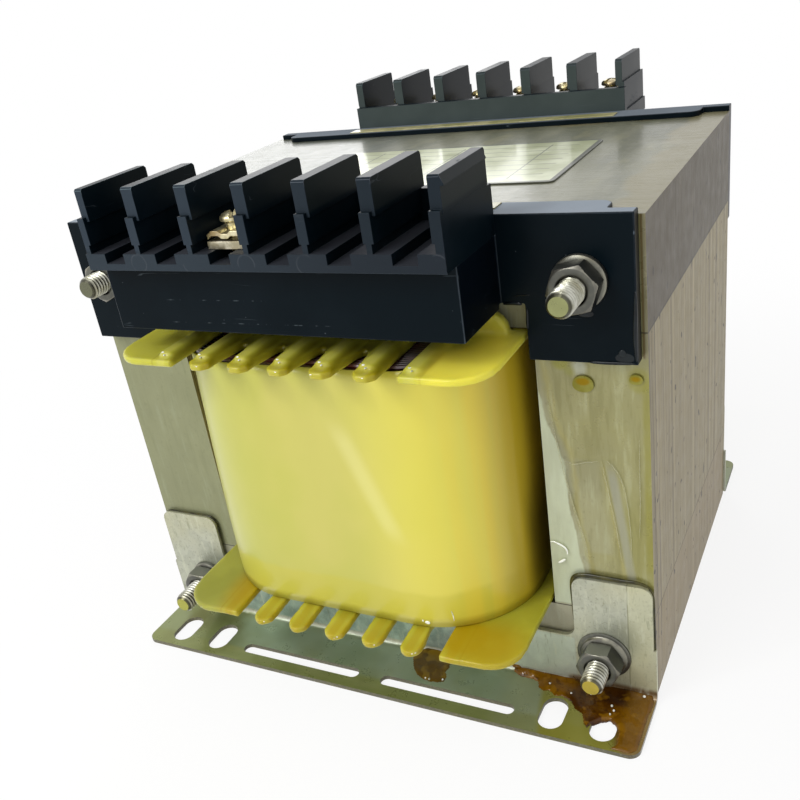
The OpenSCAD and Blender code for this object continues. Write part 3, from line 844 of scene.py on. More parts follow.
def plastic_edge_finish(name):
    """The mouldings' edges: dark, with pale wear and painted highlights on barrier tops, the rails'
    feet and barrier ends.
    """
    f, wear_and_sheen = mottled(name, (180, 3, 0.65), 0.42, 0.62, tone(12, 22, 29), tone(24, 34, 42),
                      Specular_IOR_Level=0.12)
    # painted highlight, partly wear: the barriers' tops pale, paler towards the left
    side = f.rise(f.x, -0.035, 0.03)
    tops = f.rise(f.z, 0.1413, 0.1424)
    f.lay(tops * (0.5 + wear_and_sheen * 0.5), f.blend(side, tone(112, 130, 136), tone(84, 90, 100)))
    # painted highlights along the rails' feet and on the barriers' ends
    rims = f.rise((f.z - RAIL_FOOT).size(), 0.0005, 0.0001) * f.rise(f.ny.size(), 0.2, 0.4)
    f.lay(rims * (0.3 + wear_and_sheen * 0.6), 88, 98, 108)
    ends = (f.band(f.z, 0.1075, 0.1245, 0.0003) * f.rise(f.y.size(), 0.074, 0.0745)
            * f.rise(f.nx.size(), 0.3, 0.5))
    f.lay(ends * wear_and_sheen, 74, 84, 92)
    return f.done(Roughness=0.28 + wear_and_sheen * 0.2, Normal=f.dent(f.noise(1200, 2), 0.12, 0.04))


def rail_finish(name):
    """Black moulding of the rails, greyer on its floors from dust and painted light, with faint
    arcs left by its mould.
    """
    f, cloud = mottled(name, (45, 3, 0.6), 0.4, 0.66, COLOURS.plastic, tone(12, 22, 29),
                       Specular_IOR_Level=0.08)
    side = f.rise(f.x, -0.03, 0.04)
    # dust and painted light: the bays' floors painted a lighter grey against the shade in them
    floors = f.rise(f.nz, 0.6, 0.9) * f.rise(f.z, 0.1315, 0.1295)
    f.lay(floors * (0.6 + cloud * 0.4), 50, 52, 58)
    outer = f.rise(f.ny.size(), 0.5, 0.8) * f.rise(f.y.size(), 0.0775, 0.0785)
    low = f.rise(f.z, 0.1292, 0.1284)
    f.lay(outer * low * 0.75, f.blend(side, tone(54, 63, 71), tone(39, 45, 52)))
    f.lay(outer * (1 - low) * 0.75, f.blend(side, tone(54, 64, 74), tone(34, 42, 49)))
    flank = f.rise(f.nx, 0.6, 0.9) * f.rise(f.z, 0.1362, 0.137) * f.rise(f.x, -0.01, 0.02)
    f.lay(flank * 0.55, 38, 43, 42)
    # painted light: the back rail's faces towards the core painted lighter
    inward = f.rise(f.y * f.ny, -0.03, -0.05) * f.rise(f.y, 0.0, 0.01)
    f.lay(inward * (0.35 + cloud * 0.6), 80, 90, 88)
    across = (((f.x - BAY_SHIFT) / BAY_PITCH + 0.5).part() - 0.5) * BAY_PITCH + 0.0006
    up = f.z - 0.1262
    away = (across * across + up * up).to_power(0.5)
    arc = f.rise((away - 0.0021).size(), 0.00025, 0.00008) * outer * low
    arc = arc * f.rise(f.noise(170, 1), 0.5, 0.6)
    f.lay(arc * 0.35, 74, 78, 84)
    scrape = scratches(f) * (1 - outer * 0.5)
    f.lay(scrape * 0.4, 96, 102, 108)
    return f.done(Roughness=0.26 + cloud * 0.16 + scrape * 0.3 + floors * 0.15,
                  Normal=f.dent(f.noise(500, 2) * 0.4 - arc, 0.15, 0.06))


def bobbin_finish(name):
    """Translucent bobbin, amber where varnish has gathered, with painted light and shade on its
    flanges.
    """
    f, cloud = mottled(
        name, (60, 3, 0.55), 0.38, 0.62, COLOURS.bobbin, tone(182, 178, 62),
        Subsurface_Weight=0.55, Subsurface_Scale=0.004, Subsurface_Radius=(1.0, 0.9, 0.3),
        Coat_Weight=0.2, Coat_Roughness=0.06, Roughness=0.3, Specular_IOR_Level=0.2)
    high = f.rise(f.z, 0.08, 0.09)
    # painted light: the upper flange painted lighter against the shade it lies in
    f.lay(high * 0.7, 194, 192, 74)
    # across counts from one finger's middle to the next, -0.5 to 0.5
    across = (f.x / FINGER_PITCH + 0.5).part() - 0.5
    far = f.rise(f.y.size(), 0.062, 0.066) * f.rise(f.x.size(), 0.0365, 0.036)
    crown = f.rise(across.size(), 0.15, 0.07) * far
    # painted highlight: the upper fingers' ridge crowns painted lighter; the lower ones' crowns are
    # amber
    f.lay(crown * high * 0.4, 200, 196, 104)
    f.lay(crown * (1 - high) * (0.3 + cloud * 0.5), 170, 148, 22)
    f.lay(f.rise(f.x, -0.031, -0.038) * (1 - high) * 0.5, 132, 138, 74)
    # painted shade: darker amber in the valleys along each finger's edges
    f.lay(f.band(across.size(), 0.215, 0.262, 0.02) * far * 0.35, 140, 118, 8)
    # painted shade: the webs between the upper fingers painted dark, where the wire lies in shadow
    deep = f.rise(across.size(), 0.3, 0.4) * f.rise(f.y.size(), 0.06, 0.066) * high
    f.lay(deep * f.rise(f.x.size(), 0.0228, 0.0222) * 0.85, 70, 62, 14)
    fingers = f.rise(f.x.size(), 0.0305, 0.0285)
    # painted shade: the right side of each finger painted amber; the tips and the lower ears' spots
    # are amber with gathered varnish
    side = f.rise(across, 0.08, 0.24) * fingers * f.rise(f.y.size(), 0.064, 0.072)
    tip = f.rise(f.y.size(), 0.0745, 0.0785) * fingers
    amber = (side * (0.4 + high * 0.2) + tip * (0.2 + high * 0.4)) * (0.5 + cloud)
    right = f.spot(40, -73, 26, 8, 5, (0.8, 1, 0.6)) + f.spot(33, -71, 26, 5, 3)
    left = f.spot(-32.5, -68, 26, 7, 4, (1.2, 0.6, 0.6))
    amber = (amber + right * 0.9 + left * 0.9).least(1.0)
    f.lay(amber * 0.8, f.blend(high, tone(168, 138, 0), tone(160, 146, 12)))
    # painted shade: the upper fingers' right flanks painted dark olive
    flank = f.rise(across, 0.1, 0.22) * far * high * f.rise(f.y.size(), 0.079, 0.0765)
    f.lay(flank * 0.6, 112, 104, 12)
    # painted light: the upper flange's right side, under the bracket's box, painted lighter
    bright = f.spot(44, -72, 101, 7, 4) + f.spot(38, -76, 98, 4, 3) + f.spot(42, -63, 101, 9, 4)
    f.lay(bright.least(1.0) * 0.85, 248, 232, 84)
    return f.done(Normal=f.dent(f.noise(170, 3) + amber * 0.6, 0.25, 0.25))


def film_finish(name):
    """Glossy yellow film, lighter on its left, golden streaks round the right corner; painted light
    and shade.
    """
    f, soft = mottled(
        name, (30, 3, 0.55, (1, 1, 0.7)), 0.38, 0.64, COLOURS.film, tone(198, 191, 92),
        Coat_Weight=0.35, Coat_Roughness=0.16, Specular_IOR_Level=0.4)
    f.lay(f.rise(f.x, -0.01, -0.04) * 0.6, 176, 180, 94)
    f.lay(f.rise(f.x, 0.004, 0.032) * 0.7, 232, 219, 77)
    # painted reflection: a soft pale band slanting across the front, where a lamp's reflection lies
    fold = f.x - 0.0136 + (f.z - 0.0689) * 0.379
    painted_streak = (f.rise(fold.size(), 0.0042, 0.0004) * f.band(f.z, 0.0545, 0.0828, 0.004)
              * f.rise(f.y, -0.07, -0.0714))
    f.lay(painted_streak * 0.3, 236, 232, 160)
    f.lay(f.rise(f.z + (soft - 0.5) * 0.008, 0.0395, 0.0375) * 0.5, 196, 186, 52)
    turn = f.noise(170, 2, 0.55, (1, 1, 0.05))
    corner = f.rise(f.x, 0.026, 0.04) * f.rise(f.y, -0.05, -0.06)
    f.lay(corner * f.rise(turn, 0.36, 0.64) * 0.7, 232, 206, 62)
    # painted shade: deep amber round the right side, and a painted shadow low down beside the right
    # limb
    f.lay(f.rise(f.x, 0.0385, 0.0455) * 0.8, 184, 154, 18)
    f.lay(f.rise(f.x, 0.0448, 0.0462) * f.rise(f.z, 0.07, 0.045) * 0.75, 84, 72, 8)
    return f.done(Roughness=0.3 + soft * 0.1,
                  Normal=f.dent(f.noise(45, 3, 0.5, (1, 1, 0.4)), 0.2, 0.8))


def enamel_finish(name):
    """Dark red enamelled wire under varnish."""
    f, _ = mottled(name, (160, 3, 0.6), 0.4, 0.64, COLOURS.enamel, tone(42, 12, 14),
                   Coat_Weight=0.6, Coat_Roughness=0.12, Roughness=0.35)
    return f.done(Normal=f.dent(f.noise(700, 2), 0.15, 0.05))


def plated_finish(name):
    """Bright zinc plate with a warm tint, fine turning marks and painted shade in the threads'
    roots.
    """
    f, cloud = mottled(
        name, (260, 3, 0.6), 0.4, 0.62, COLOURS.plated, tone(196, 196, 184), Metallic=0.9)
    f.lay(f.rise(f.noise(110, 2), 0.56, 0.66) * 0.45, 146, 138, 100)
    out = f.from_bolts()
    # painted shade: dark in the threads' roots, close to each bolt's axis
    f.lay(f.rise(out, 0.00285, 0.0025) * 0.85, 46, 44, 34)
    # each bolt's end face has a stain of its own colour
    right, low = f.rise(f.x, -0.01, 0.01), f.rise(f.z, 0.07, 0.05)
    stain = f.blend(low, f.blend(right, tone(108, 110, 82), tone(160, 164, 104)),
                    f.blend(right, tone(190, 188, 66), tone(196, 172, 34)))
    upper, lower = (
        BOLT_END[level + "_left"] + right * (BOLT_END[level + "_right"] - BOLT_END[level + "_left"])
        for level in BOLT_Z)
    deep = f.y - upper * (1 - low) - lower * low
    end = f.rise(deep, 0.0011, 0.0008) * f.rise(f.ny, -0.6, -0.85)
    end = end * f.rise(out, 0.0026, 0.0017 + cloud * 0.0006)
    f.lay(end * (0.5 + cloud * 0.4), stain)
    return f.done(Metallic=0.9 - end * 0.5, Roughness=0.2 + cloud * 0.22,
                  Normal=f.dent(f.noise(900, 3, 0.6, (1, 4, 1)), 0.12, 0.05))


def nut_finish(name):
    """Greyer plate of the nuts and washers, with varnish in places, and painted light and shade."""
    f, cloud = mottled(
        name, (220, 3, 0.6), 0.4, 0.62, COLOURS.nut, tone(142, 140, 126), Metallic=0.85)
    f.lay(f.rise(f.noise(130, 2), 0.55, 0.66) * 0.5, 118, 112, 84)
    # painted light and shade: the sides paler where they face up and to the left, dark where they
    # face away
    lit = f.rise(f.nz - f.nx * 0.6, -0.2, 0.8)
    f.lay(f.rise(f.ny.size(), 0.5, 0.2) * 0.85, f.blend(lit, tone(44, 47, 48), tone(104, 106, 102)))
    f.lay(f.rise(f.ny, -0.85, -0.98) * 0.65, 82, 84, 79)
    # painted shade: dark in the bores round the bolt
    f.lay(f.rise(f.from_bolts(), 0.0037, 0.0034) * 0.85, 26, 26, 22)
    return f.done(Roughness=0.22 + cloud * 0.25, Normal=f.dent(f.noise(700, 3), 0.12, 0.05))


def brass_finish(name):
    """Plated brass, brighter in places and brown where varnish has run."""
    f, cloud = mottled(
        name, (320, 3, 0.6), 0.4, 0.62, COLOURS.brass, tone(230, 222, 186), Metallic=0.9)
    f.lay(f.rise(f.noise(240, 2), 0.55, 0.66) * 0.5, 132, 92, 48)
    return f.done(Roughness=0.18 + cloud * 0.24, Normal=f.dent(f.noise(1400, 2), 0.14, 0.05))


def nickel_finish(name):
    """Plated terminal bars."""
    f, cloud = mottled(name, (380, 3, 0.6), 0.4, 0.62, tone(168, 160, 132),
                       tone(214, 208, 186), Metallic=0.85)
    f.lay(f.rise(f.noise(200, 2), 0.54, 0.66) * 0.5, 150, 128, 78)
    return f.done(Roughness=0.22 + cloud * 0.2,
                  Normal=f.dent(f.noise(1200, 2, 0.5, (0.3, 1, 1)), 0.14, 0.05))


def nameplate_finish(name):
    """Pale foil with a thin frame and plain ruled lines in place of any print."""
    f, cloud = mottled(name, (60, 3, 0.6), 0.4, 0.62, COLOURS.plate, tone(196, 201, 168),
                       Metallic=0.35, Coat_Weight=0.5, Coat_Roughness=0.12)
    low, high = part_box("nameplate")

    def inner(along, first, last, inset, soft):
        return f.band(along, first + inset, last - inset, soft)

    def ruled(along, first, pitch, wide, narrow):
        return f.rise((((along - first) / pitch).part() - 0.5).size(), wide, narrow)

    rows = ruled(f.y, low.y, 0.0052, 0.06, 0.03) * inner(f.x, low.x, high.x, 0.005, 0.0002)
    rules = rows.most(ruled(f.x, low.x, 0.0259, 0.012, 0.006)) * inner(
        f.y, low.y, high.y, 0.004, 0.0002)
    f.lay(rules * 0.85, 84, 90, 74)
    field = inner(f.x, low.x, high.x, 0.0012, 0.00012) * inner(
        f.y, low.y, high.y, 0.0012, 0.00012)
    f.lay(1 - field, 74, 76, 62)
    return f.done(Roughness=0.3 + cloud * 0.15,
                  Normal=f.dent(rules * -0.6 + f.noise(420, 2) * 0.3, 0.1, 0.05))


def marker_finish(name):
    """Pale marker film, varnish over it, with plain cell lines."""
    f, cloud = mottled(name, (120, 3, 0.6), 0.38, 0.62, tone(186, 178, 128), tone(146, 142, 84),
                       Coat_Weight=0.5, Coat_Roughness=0.1)
    cell = ((f.x - BAY_SHIFT) / BAY_PITCH).part() - 0.5
    f.lay(f.rise(cell.size(), 0.49, 0.497) * 0.7, 70, 72, 60)
    return f.done(Roughness=0.3 + cloud * 0.2, Normal=f.dent(cloud, 0.12, 0.1))


def pool_finish(name):
    """Amber varnish, pooled and glossy."""
    f, deep = mottled(
        name, (150, 3, 0.6), 0.36, 0.66, COLOURS.pooled, tone(66, 34, 3),
        Coat_Weight=0.35, Coat_Roughness=0.04, Roughness=0.25, Specular_IOR_Level=0.1)
    f.lay(f.rise(f.x, 0.0565, 0.0525) * 0.55, 140, 94, 8)
    f.lay(f.rise(f.noise(520, 3), 0.54, 0.62) * 0.5, 48, 26, 4)
    behind = (f.rise(f.y + (deep - 0.5) * 0.006, -0.0585, -0.0555)
              * f.band(f.x, 0.0565, 0.0725, 0.002))
    f.lay(behind * 0.8, 52, 25, 3)
    f.lay(f.rise(f.noise(300, 2), 0.56, 0.68) * 0.45, 164, 116, 12)
    f.lay(f.rise(f.x, 0.0685, 0.0715) * 0.6, 122, 84, 2)
    patch = f.rise(f.x, 0.03, 0.026)
    f.lay(patch * 0.8, 82, 66, 26)
    f.lay(patch * f.rise(f.noise(240, 2), 0.5, 0.6) * 0.6, 140, 112, 34)
    return f.done(Normal=f.dent(f.noise(420, 3), 0.6, 0.5))


def clear_finish(name):
    """Clear, faintly yellow varnish in drops and runs."""
    f, cloud = mottled(name, (260, 3), 0.4, 0.62, tone(180, 180, 146), tone(188, 186, 138),
                       Coat_Weight=1.0, Coat_Roughness=0.03, Roughness=0.22, Alpha=0.3)
    return f.done(Normal=f.dent(cloud, 0.15, 0.2))


def bright_finish(name):
    """A near-white painted highlight: a clear drip's lit rim, and glints on the varnish."""
    f, _ = mottled(name, (700, 2), 0.36, 0.5, tone(176, 182, 150), tone(246, 248, 240),
                   Coat_Weight=1.0, Coat_Roughness=0.03, Roughness=0.2)
    return f.done()


def amber_drop_finish(name):
    """A flat drop of varnish, amber in the middle and olive round it."""
    f, _ = mottled(
        name, (300, 3), 0.4, 0.62, tone(132, 127, 50), tone(146, 142, 70),
        Coat_Weight=0.06, Coat_Roughness=0.1, Roughness=0.45, Specular_IOR_Level=0.05)
    for x, z, wide in ((61.7, 89.8, 1.5), (73.45, 91.15, 1.0)):
        f.lay(f.spot(x, -51.3, z, wide, 0.5, (1, 0, 1.7)) * 0.9, 148, 118, 6)
    return f.done(Normal=f.dent(f.noise(500, 2), 0.2, 0.1))


def rim_finish(name):
    """Dark olive-brown varnish gathered along an edge."""
    f, cloud = mottled(
        name, (260, 3), 0.4, 0.62, tone(38, 37, 10), tone(72, 68, 24),
        Coat_Weight=0.45, Coat_Roughness=0.04, Roughness=0.3, Specular_IOR_Level=0.15)
    return f.done(Normal=f.dent(cloud, 0.2, 0.2))


def dark_drop_finish(name):
    """Glossy varnish over black plastic."""
    f, cloud = mottled(
        name, (300, 3), 0.4, 0.62, tone(5, 12, 17), tone(14, 24, 28),
        Coat_Weight=0.4, Coat_Roughness=0.03, Roughness=0.3, Specular_IOR_Level=0.1)
    return f.done(Normal=f.dent(cloud, 0.4, 0.3))


def floor_finish(name):
    """A pale floor that keeps shadows near the object and is plain white further off."""
    f = Finish(name, Base_Color=(*STAGE.floor, 1.0), Roughness=0.9, Specular_IOR_Level=0.0)
    seen = f.plain_view()
    far = f.rise(f.vector_sum("LENGTH", f.here, out="Value"), 0.1, 0.34)
    glow = f.node("ShaderNodeEmission", None, {"Color": (1.0, 1.0, 1.0), "Strength": 1.0})
    mixed = f.node("ShaderNodeMixShader", None, {
        0: seen * (0.85 + far * 0.15), 1: Value(f, f.surface.outputs[0]), 2: glow})
    f.tree.links.new(mixed.socket, f.end.inputs[0])
    return f.material


FINISH_MAKERS = {
    "core": core_finish, "zinc": zinc_finish, "zinc_edge": zinc_edge_finish,
    "plastic": plastic_finish, "plastic_edge": plastic_edge_finish, "rail": rail_finish,
    "bobbin": bobbin_finish, "film": film_finish, "enamel": enamel_finish,
    "plated": plated_finish, "nut": nut_finish, "brass": brass_finish, "nickel": nickel_finish,
    "nameplate": nameplate_finish, "marker": marker_finish, "pool": pool_finish,
    "clear": clear_finish, "bright": bright_finish, "rim": rim_finish,
    "amber_drop": amber_drop_finish, "dark_drop": dark_drop_finish, "floor": floor_finish,
}


# ---------------------------------------------------------------- recipes


def sheet_stack_recipe():
    """Core sheets one behind another, each a little out of line, with two bolt holes or none."""
    r = Recipe(
        "Sheet stack", Width=0.1524, Height=0.0254, Left=0.0, Low=0.0, Front=-0.05125,
        Sheets=205, Sheet=0.0005, Play=0.00007, Hole_Place=0.0635, Hole_Size=0.0, Seed=1,
    )
    width, height, sheet, play, hole_size = r.take("Width", "Height", "Sheet", "Play", "Hole Size")
    outline = r.node(
        "GeometryNodeCurvePrimitiveQuadrilateral", None, {"Width": width, "Height": height})
    holes = []
    for side in (-1, 1):
        hole = r.node(
            "GeometryNodeCurvePrimitiveCircle", None, {"Resolution": 8, "Radius": hole_size})
        holes.append(r.node("GeometryNodeTransform", None, {
            "Geometry": hole, "Translation": r.vector(r.take("Hole Place") * side, 0.0, 0.0)}))
    chosen = r.node("GeometryNodeSwitch", {"input_type": "GEOMETRY"}, {
        "Switch": hole_size > 0.0, "True": r.join(*holes)})
    filled = r.node("GeometryNodeFillCurve", None, {"Curve": r.join(outline, chosen)})
    stood = r.node("GeometryNodeTransform", None, {
        "Geometry": r.thickened(filled, sheet - 0.00001),
        "Translation": r.vector(r.take("Left") + width * 0.5, 0.0, r.take("Low") + height * 0.5),
        "Rotation": (math.pi / 2, 0.0, 0.0)})
    line = r.node("GeometryNodeMeshLine", None, {
        "Count": r.take("Sheets"), "Start Location": r.vector(0.0, r.take("Front"), 0.0),
        "Offset": r.vector(0.0, sheet, 0.0)})
    jitter = r.node("FunctionNodeRandomValue", {"data_type": "FLOAT_VECTOR"}, {
        0: r.vector(-play, 0.0, -play), 1: r.vector(play, 0.0, play), "Seed": r.take("Seed")})
    return r.finish(r.node("GeometryNodeInstanceOnPoints", None, {
        "Points": r.offset(line, jitter), "Instance": stood}))


def loop_curve(r, count):
    """A rounded rectangle, run anticlockwise."""
    half_width, half_depth, corner = r.take("Half Width", "Half Depth", "Corner")
    outline = r.node("GeometryNodeCurvePrimitiveQuadrilateral", None, {
        "Width": half_width * 2.0, "Height": half_depth * 2.0})
    return r.node("GeometryNodeFilletCurve", {"mode": "POLY"}, {
        "Curve": outline, "Count": count, "Radius": corner})


def from_loop(r, tangent, x):
    """The direction away from a loop, and how far to the left a place on it is, 0 to 1."""
    outward = r.vector_sum("CROSS_PRODUCT", tangent, (0.0, 0.0, 1.0))
    return outward, (x / r.take("Half Width")) * -0.5 + 0.5


def turns_recipe():
    """Turns of wire round the bobbin: rows up the outside, then turns inward over the top."""
    r = Recipe(
        "Wire turns", Half_Width=0.046, Half_Depth=0.071, Corner=0.025, Low=0.0277,
        Rows=60, Layers=12, Pitch=0.0011, Taper=0.0018,
    )
    pitch, rows = r.take("Pitch", "Rows")
    line = r.node("GeometryNodeMeshLine", None, {
        "Count": rows + r.take("Layers"), "Start Location": r.vector(0.0, 0.0, r.take("Low")),
        "Offset": (0.0, 0.0, 0.0)})
    loops = r.node("GeometryNodeInstanceOnPoints", None, {
        "Points": line, "Instance": loop_curve(r, 7)})
    marked = r.node(
        "GeometryNodeStoreNamedAttribute", {"data_type": "FLOAT", "domain": "INSTANCE"},
        {"Geometry": loops, "Name": "turn", "Value": r.node("GeometryNodeInputIndex")})
    plain = r.node("GeometryNodeRealizeInstances", None, {0: marked})
    turn = r.node("GeometryNodeInputNamedAttribute", {"data_type": "FLOAT"}, {"Name": "turn"})
    outward, left = from_loop(r, r.node("GeometryNodeInputTangent"), r.place()[0])
    share = turn.least(rows - 1.0) / (rows - 1.0)
    lean = left.to_power(2.0) * share.to_power(1.6) * r.take("Taper") + 0.0004
    inward = (turn - rows + 1.0).most(0.0) * pitch + lean
    up = turn.least(rows - 1.0) * pitch
    shift = r.vector_sum(
        "ADD", r.vector_sum("SCALE", outward, Scale=-inward), r.vector(0.0, 0.0, up))
    section = r.node(
        "GeometryNodeCurvePrimitiveCircle", None, {"Resolution": 6, "Radius": pitch * 0.5})
    return r.finish(r.node("GeometryNodeCurveToMesh", None, {
        "Curve": r.offset(plain, shift), "Profile Curve": section}), rounded=True)


def band_recipe():
    """Film wrapped round the coil: pulled in near the top on one side, bowed, loose top edge."""
    r = Recipe(
        "Wrapped film", Half_Width=0.0465, Half_Depth=0.07165, Corner=0.026, Low=0.0277,
        High=0.0982, Taper=0.0018, Rise=0.0014, Ripple=0.00025, Film=0.00035, Seed=3.0,
    )
    low, high, rise, seed = r.take("Low", "High", "Rise", "Seed")
    grid, along, up = r.unit_grid(193, 25)
    sample = r.node(
        "GeometryNodeSampleCurve", {"mode": "FACTOR"},
        {"Curves": loop_curve(r, 16), "Factor": along}, "Position")
    px, py, _ = r.parts_of(sample)
    outward, left = from_loop(r, *r.outputs(sample, "Tangent"), px)

    def wavy(x, y, z):
        return r.node("ShaderNodeTexNoise", None, {
            "Vector": r.vector(x, y, z), "Scale": 1.0, "Detail": 2.0})

    ripple = wavy(px * 30.0, py * 30.0, up * 1.1 + seed)
    inward = (left.to_power(2.0) * up.to_power(1.6) * r.take("Taper")
              + (1.0 - (up * math.pi).sine()) * 0.00025 + ripple * r.take("Ripple"))
    edge = (1.0 - left) * rise + (wavy(px * 22.0, py * 22.0, seed) - 0.5) * 0.0012
    height = low + (high - low + edge - rise * 0.35) * up
    slid = r.vector_sum("SCALE", outward, Scale=-inward)
    skin = r.moved(grid, r.vector_sum("ADD", r.vector(px, py, height), slid))
    return r.finish(r.thickened(r.welded(skin), r.take("Film")), rounded=True)


def thread_recipe():
    """A threaded rod end along +Z from 0, its thread a helix, its tip cut to a cone."""
    r = Recipe(
        "Thread", Radius=0.003, Length=0.0135, Pitch=0.001, Depth=0.00055, Chamfer=0.0009,
        Rows=120,
    )
    radius, run, pitch, rows = r.take("Radius", "Length", "Pitch", "Rows")
    grid, along, turn = r.unit_grid(rows, 33)
    height = (along * (run + run / (rows - 2.0))).least(run)
    phase = (height / pitch - turn + 50.0).part()
    tooth = ((phase - 0.5).size() * 2.6 - 0.15).least(1.0).most(0.0)
    cone = radius - r.take("Chamfer") + (run - height) * 0.9
    wide = (radius - r.take("Depth") * tooth).least(cone)
    wide = wide * (along < (1.0 - 0.4 / rows))
    angle = turn * TAU
    skin = r.moved(grid, r.vector(wide * angle.cosine(), wide * angle.sine(), height))
    return r.finish(r.welded(skin), rounded=True)


def scatter_recipe():
    """One part set at each point of the base mesh, turned as the point's attribute says."""
    r = Recipe("Scatter", Part="object")
    part = r.node("GeometryNodeObjectInfo", {"transform_space": "ORIGINAL"}, {
        "Object": r.take("Part")}, "Geometry")
    turn = r.node(
        "GeometryNodeInputNamedAttribute", {"data_type": "FLOAT_VECTOR"}, {"Name": "turn"})
    turn = r.node("FunctionNodeEulerToRotation", None, {0: turn})
    return r.finish(r.node("GeometryNodeInstanceOnPoints", None, {
        "Points": r.take("Geometry"), "Instance": part, "Rotation": turn}))


RECIPES = {}


def recipe(maker):
    """A tree, made once."""
    if maker not in RECIPES:
        RECIPES[maker] = maker()
    return RECIPES[maker]


def scattered(name, part, finish, places):
    """Copies of a part at (place, turn) pairs; the part itself is taken away."""
    base = bpy.data.meshes.new(name)
    base.from_pydata([place for place, _ in places], [], [])
    turns = base.attributes.new("turn", "FLOAT_VECTOR", "POINT")
    turns.data.foreach_set("vector", [a for _, turn in places for a in turn])
    piece = grow(name, recipe(scatter_recipe), finish, base, Part=part)
    bpy.data.objects.remove(part)
    return piece


# ---------------------------------------------------------------- shapes made point by point


def points_of(mesh):
    co = np.zeros(len(mesh.vertices) * 3, np.float32)
    mesh.vertices.foreach_get("co", co)
    return co.reshape(-1, 3)


def set_points(mesh, co):
    mesh.vertices.foreach_set("co", np.asarray(co, np.float32).reshape(-1))
    mesh.update()


def turned(name, profile, sides, radius_at=None):
    """A solid turned about Z from (radius, height) pairs in mm; radius_at reshapes each ring."""
    verts, rings = [], []
    for radius, height in profile:
        if radius < 1e-6:
            rings.append([len(verts)])
            verts.append((0, 0, height * MM))
            continue
        ring = []
        for i in range(sides):
            angle = TAU * i / sides
            r = radius_at(radius, height, angle) if radius_at else radius
            ring.append(len(verts))
            verts.append((r * MM * math.cos(angle), r * MM * math.sin(angle), height * MM))
        rings.append(ring)
    faces = []
    for a, b in zip(rings, rings[1:]):
        for i in range(sides):
            j = (i + 1) % sides
            if len(a) == 1 and len(b) > 1:
                faces.append((a[0], b[j], b[i]))
            elif len(b) == 1 and len(a) > 1:
                faces.append((a[i], a[j], b[0]))
            elif len(a) > 1:
                faces.append((a[i], a[j], b[j], b[i]))
    return solid_object(name, verts, faces)


def hexagon(tall, flats, hole):
    """A hexagon with its outer corners cut to a cone; a nut has a hole through it."""
    cone = flats / 2 * 0.96
    depths = [0, 0.08, 0.18, 0.32, 0.5, 0.75]

    def corner(radius, height, angle):
        if radius < flats * 0.4:
            return radius
        hexed = flats / 2 / math.cos((angle + math.pi / 6) % (math.pi / 3) - math.pi / 6)
        deep = min(height if hole else 9, tall - height)
        return min(hexed, cone + 1.73 * deep)

    walls = [(flats, d) for d in depths] if hole else [(flats, 0.0)]
    walls += [(flats, tall - d) for d in reversed(depths)]
    if hole:
        bore = [(3.42, 0.0), (3.02, 0.4), (3.02, tall - 0.4), (3.42, tall)]
        return turned("hexagon", bore[::-1] + walls + [bore[-1]], 48, corner)
    return turned("hexagon", [(0, 0.0)] + walls + [(0, tall)], 48, corner)


def inside_distance(places, edge):
    """How far each place lies inside a polygon; below 0 outside it."""
    places, edge = np.asarray(places, float), np.asarray(edge, float)
    nearest = np.full(len(places), 1e9)
    inside = np.zeros(len(places), bool)
    for a, b in zip(edge, np.roll(edge, -1, 0)):
        along = b - a
        t = np.clip(((places - a) @ along) / (along @ along), 0, 1)
        nearest = np.minimum(nearest, np.linalg.norm(places - a - t[:, None] * along, axis=1))
        spans = (a[1] > places[:, 1]) != (b[1] > places[:, 1])
        with np.errstate(divide="ignore", invalid="ignore"):
            cross = (b[0] - a[0]) * (places[:, 1] - a[1]) / (b[1] - a[1]) + a[0]
        inside ^= spans & (places[:, 0] < cross)
    return np.where(inside, nearest, -nearest)


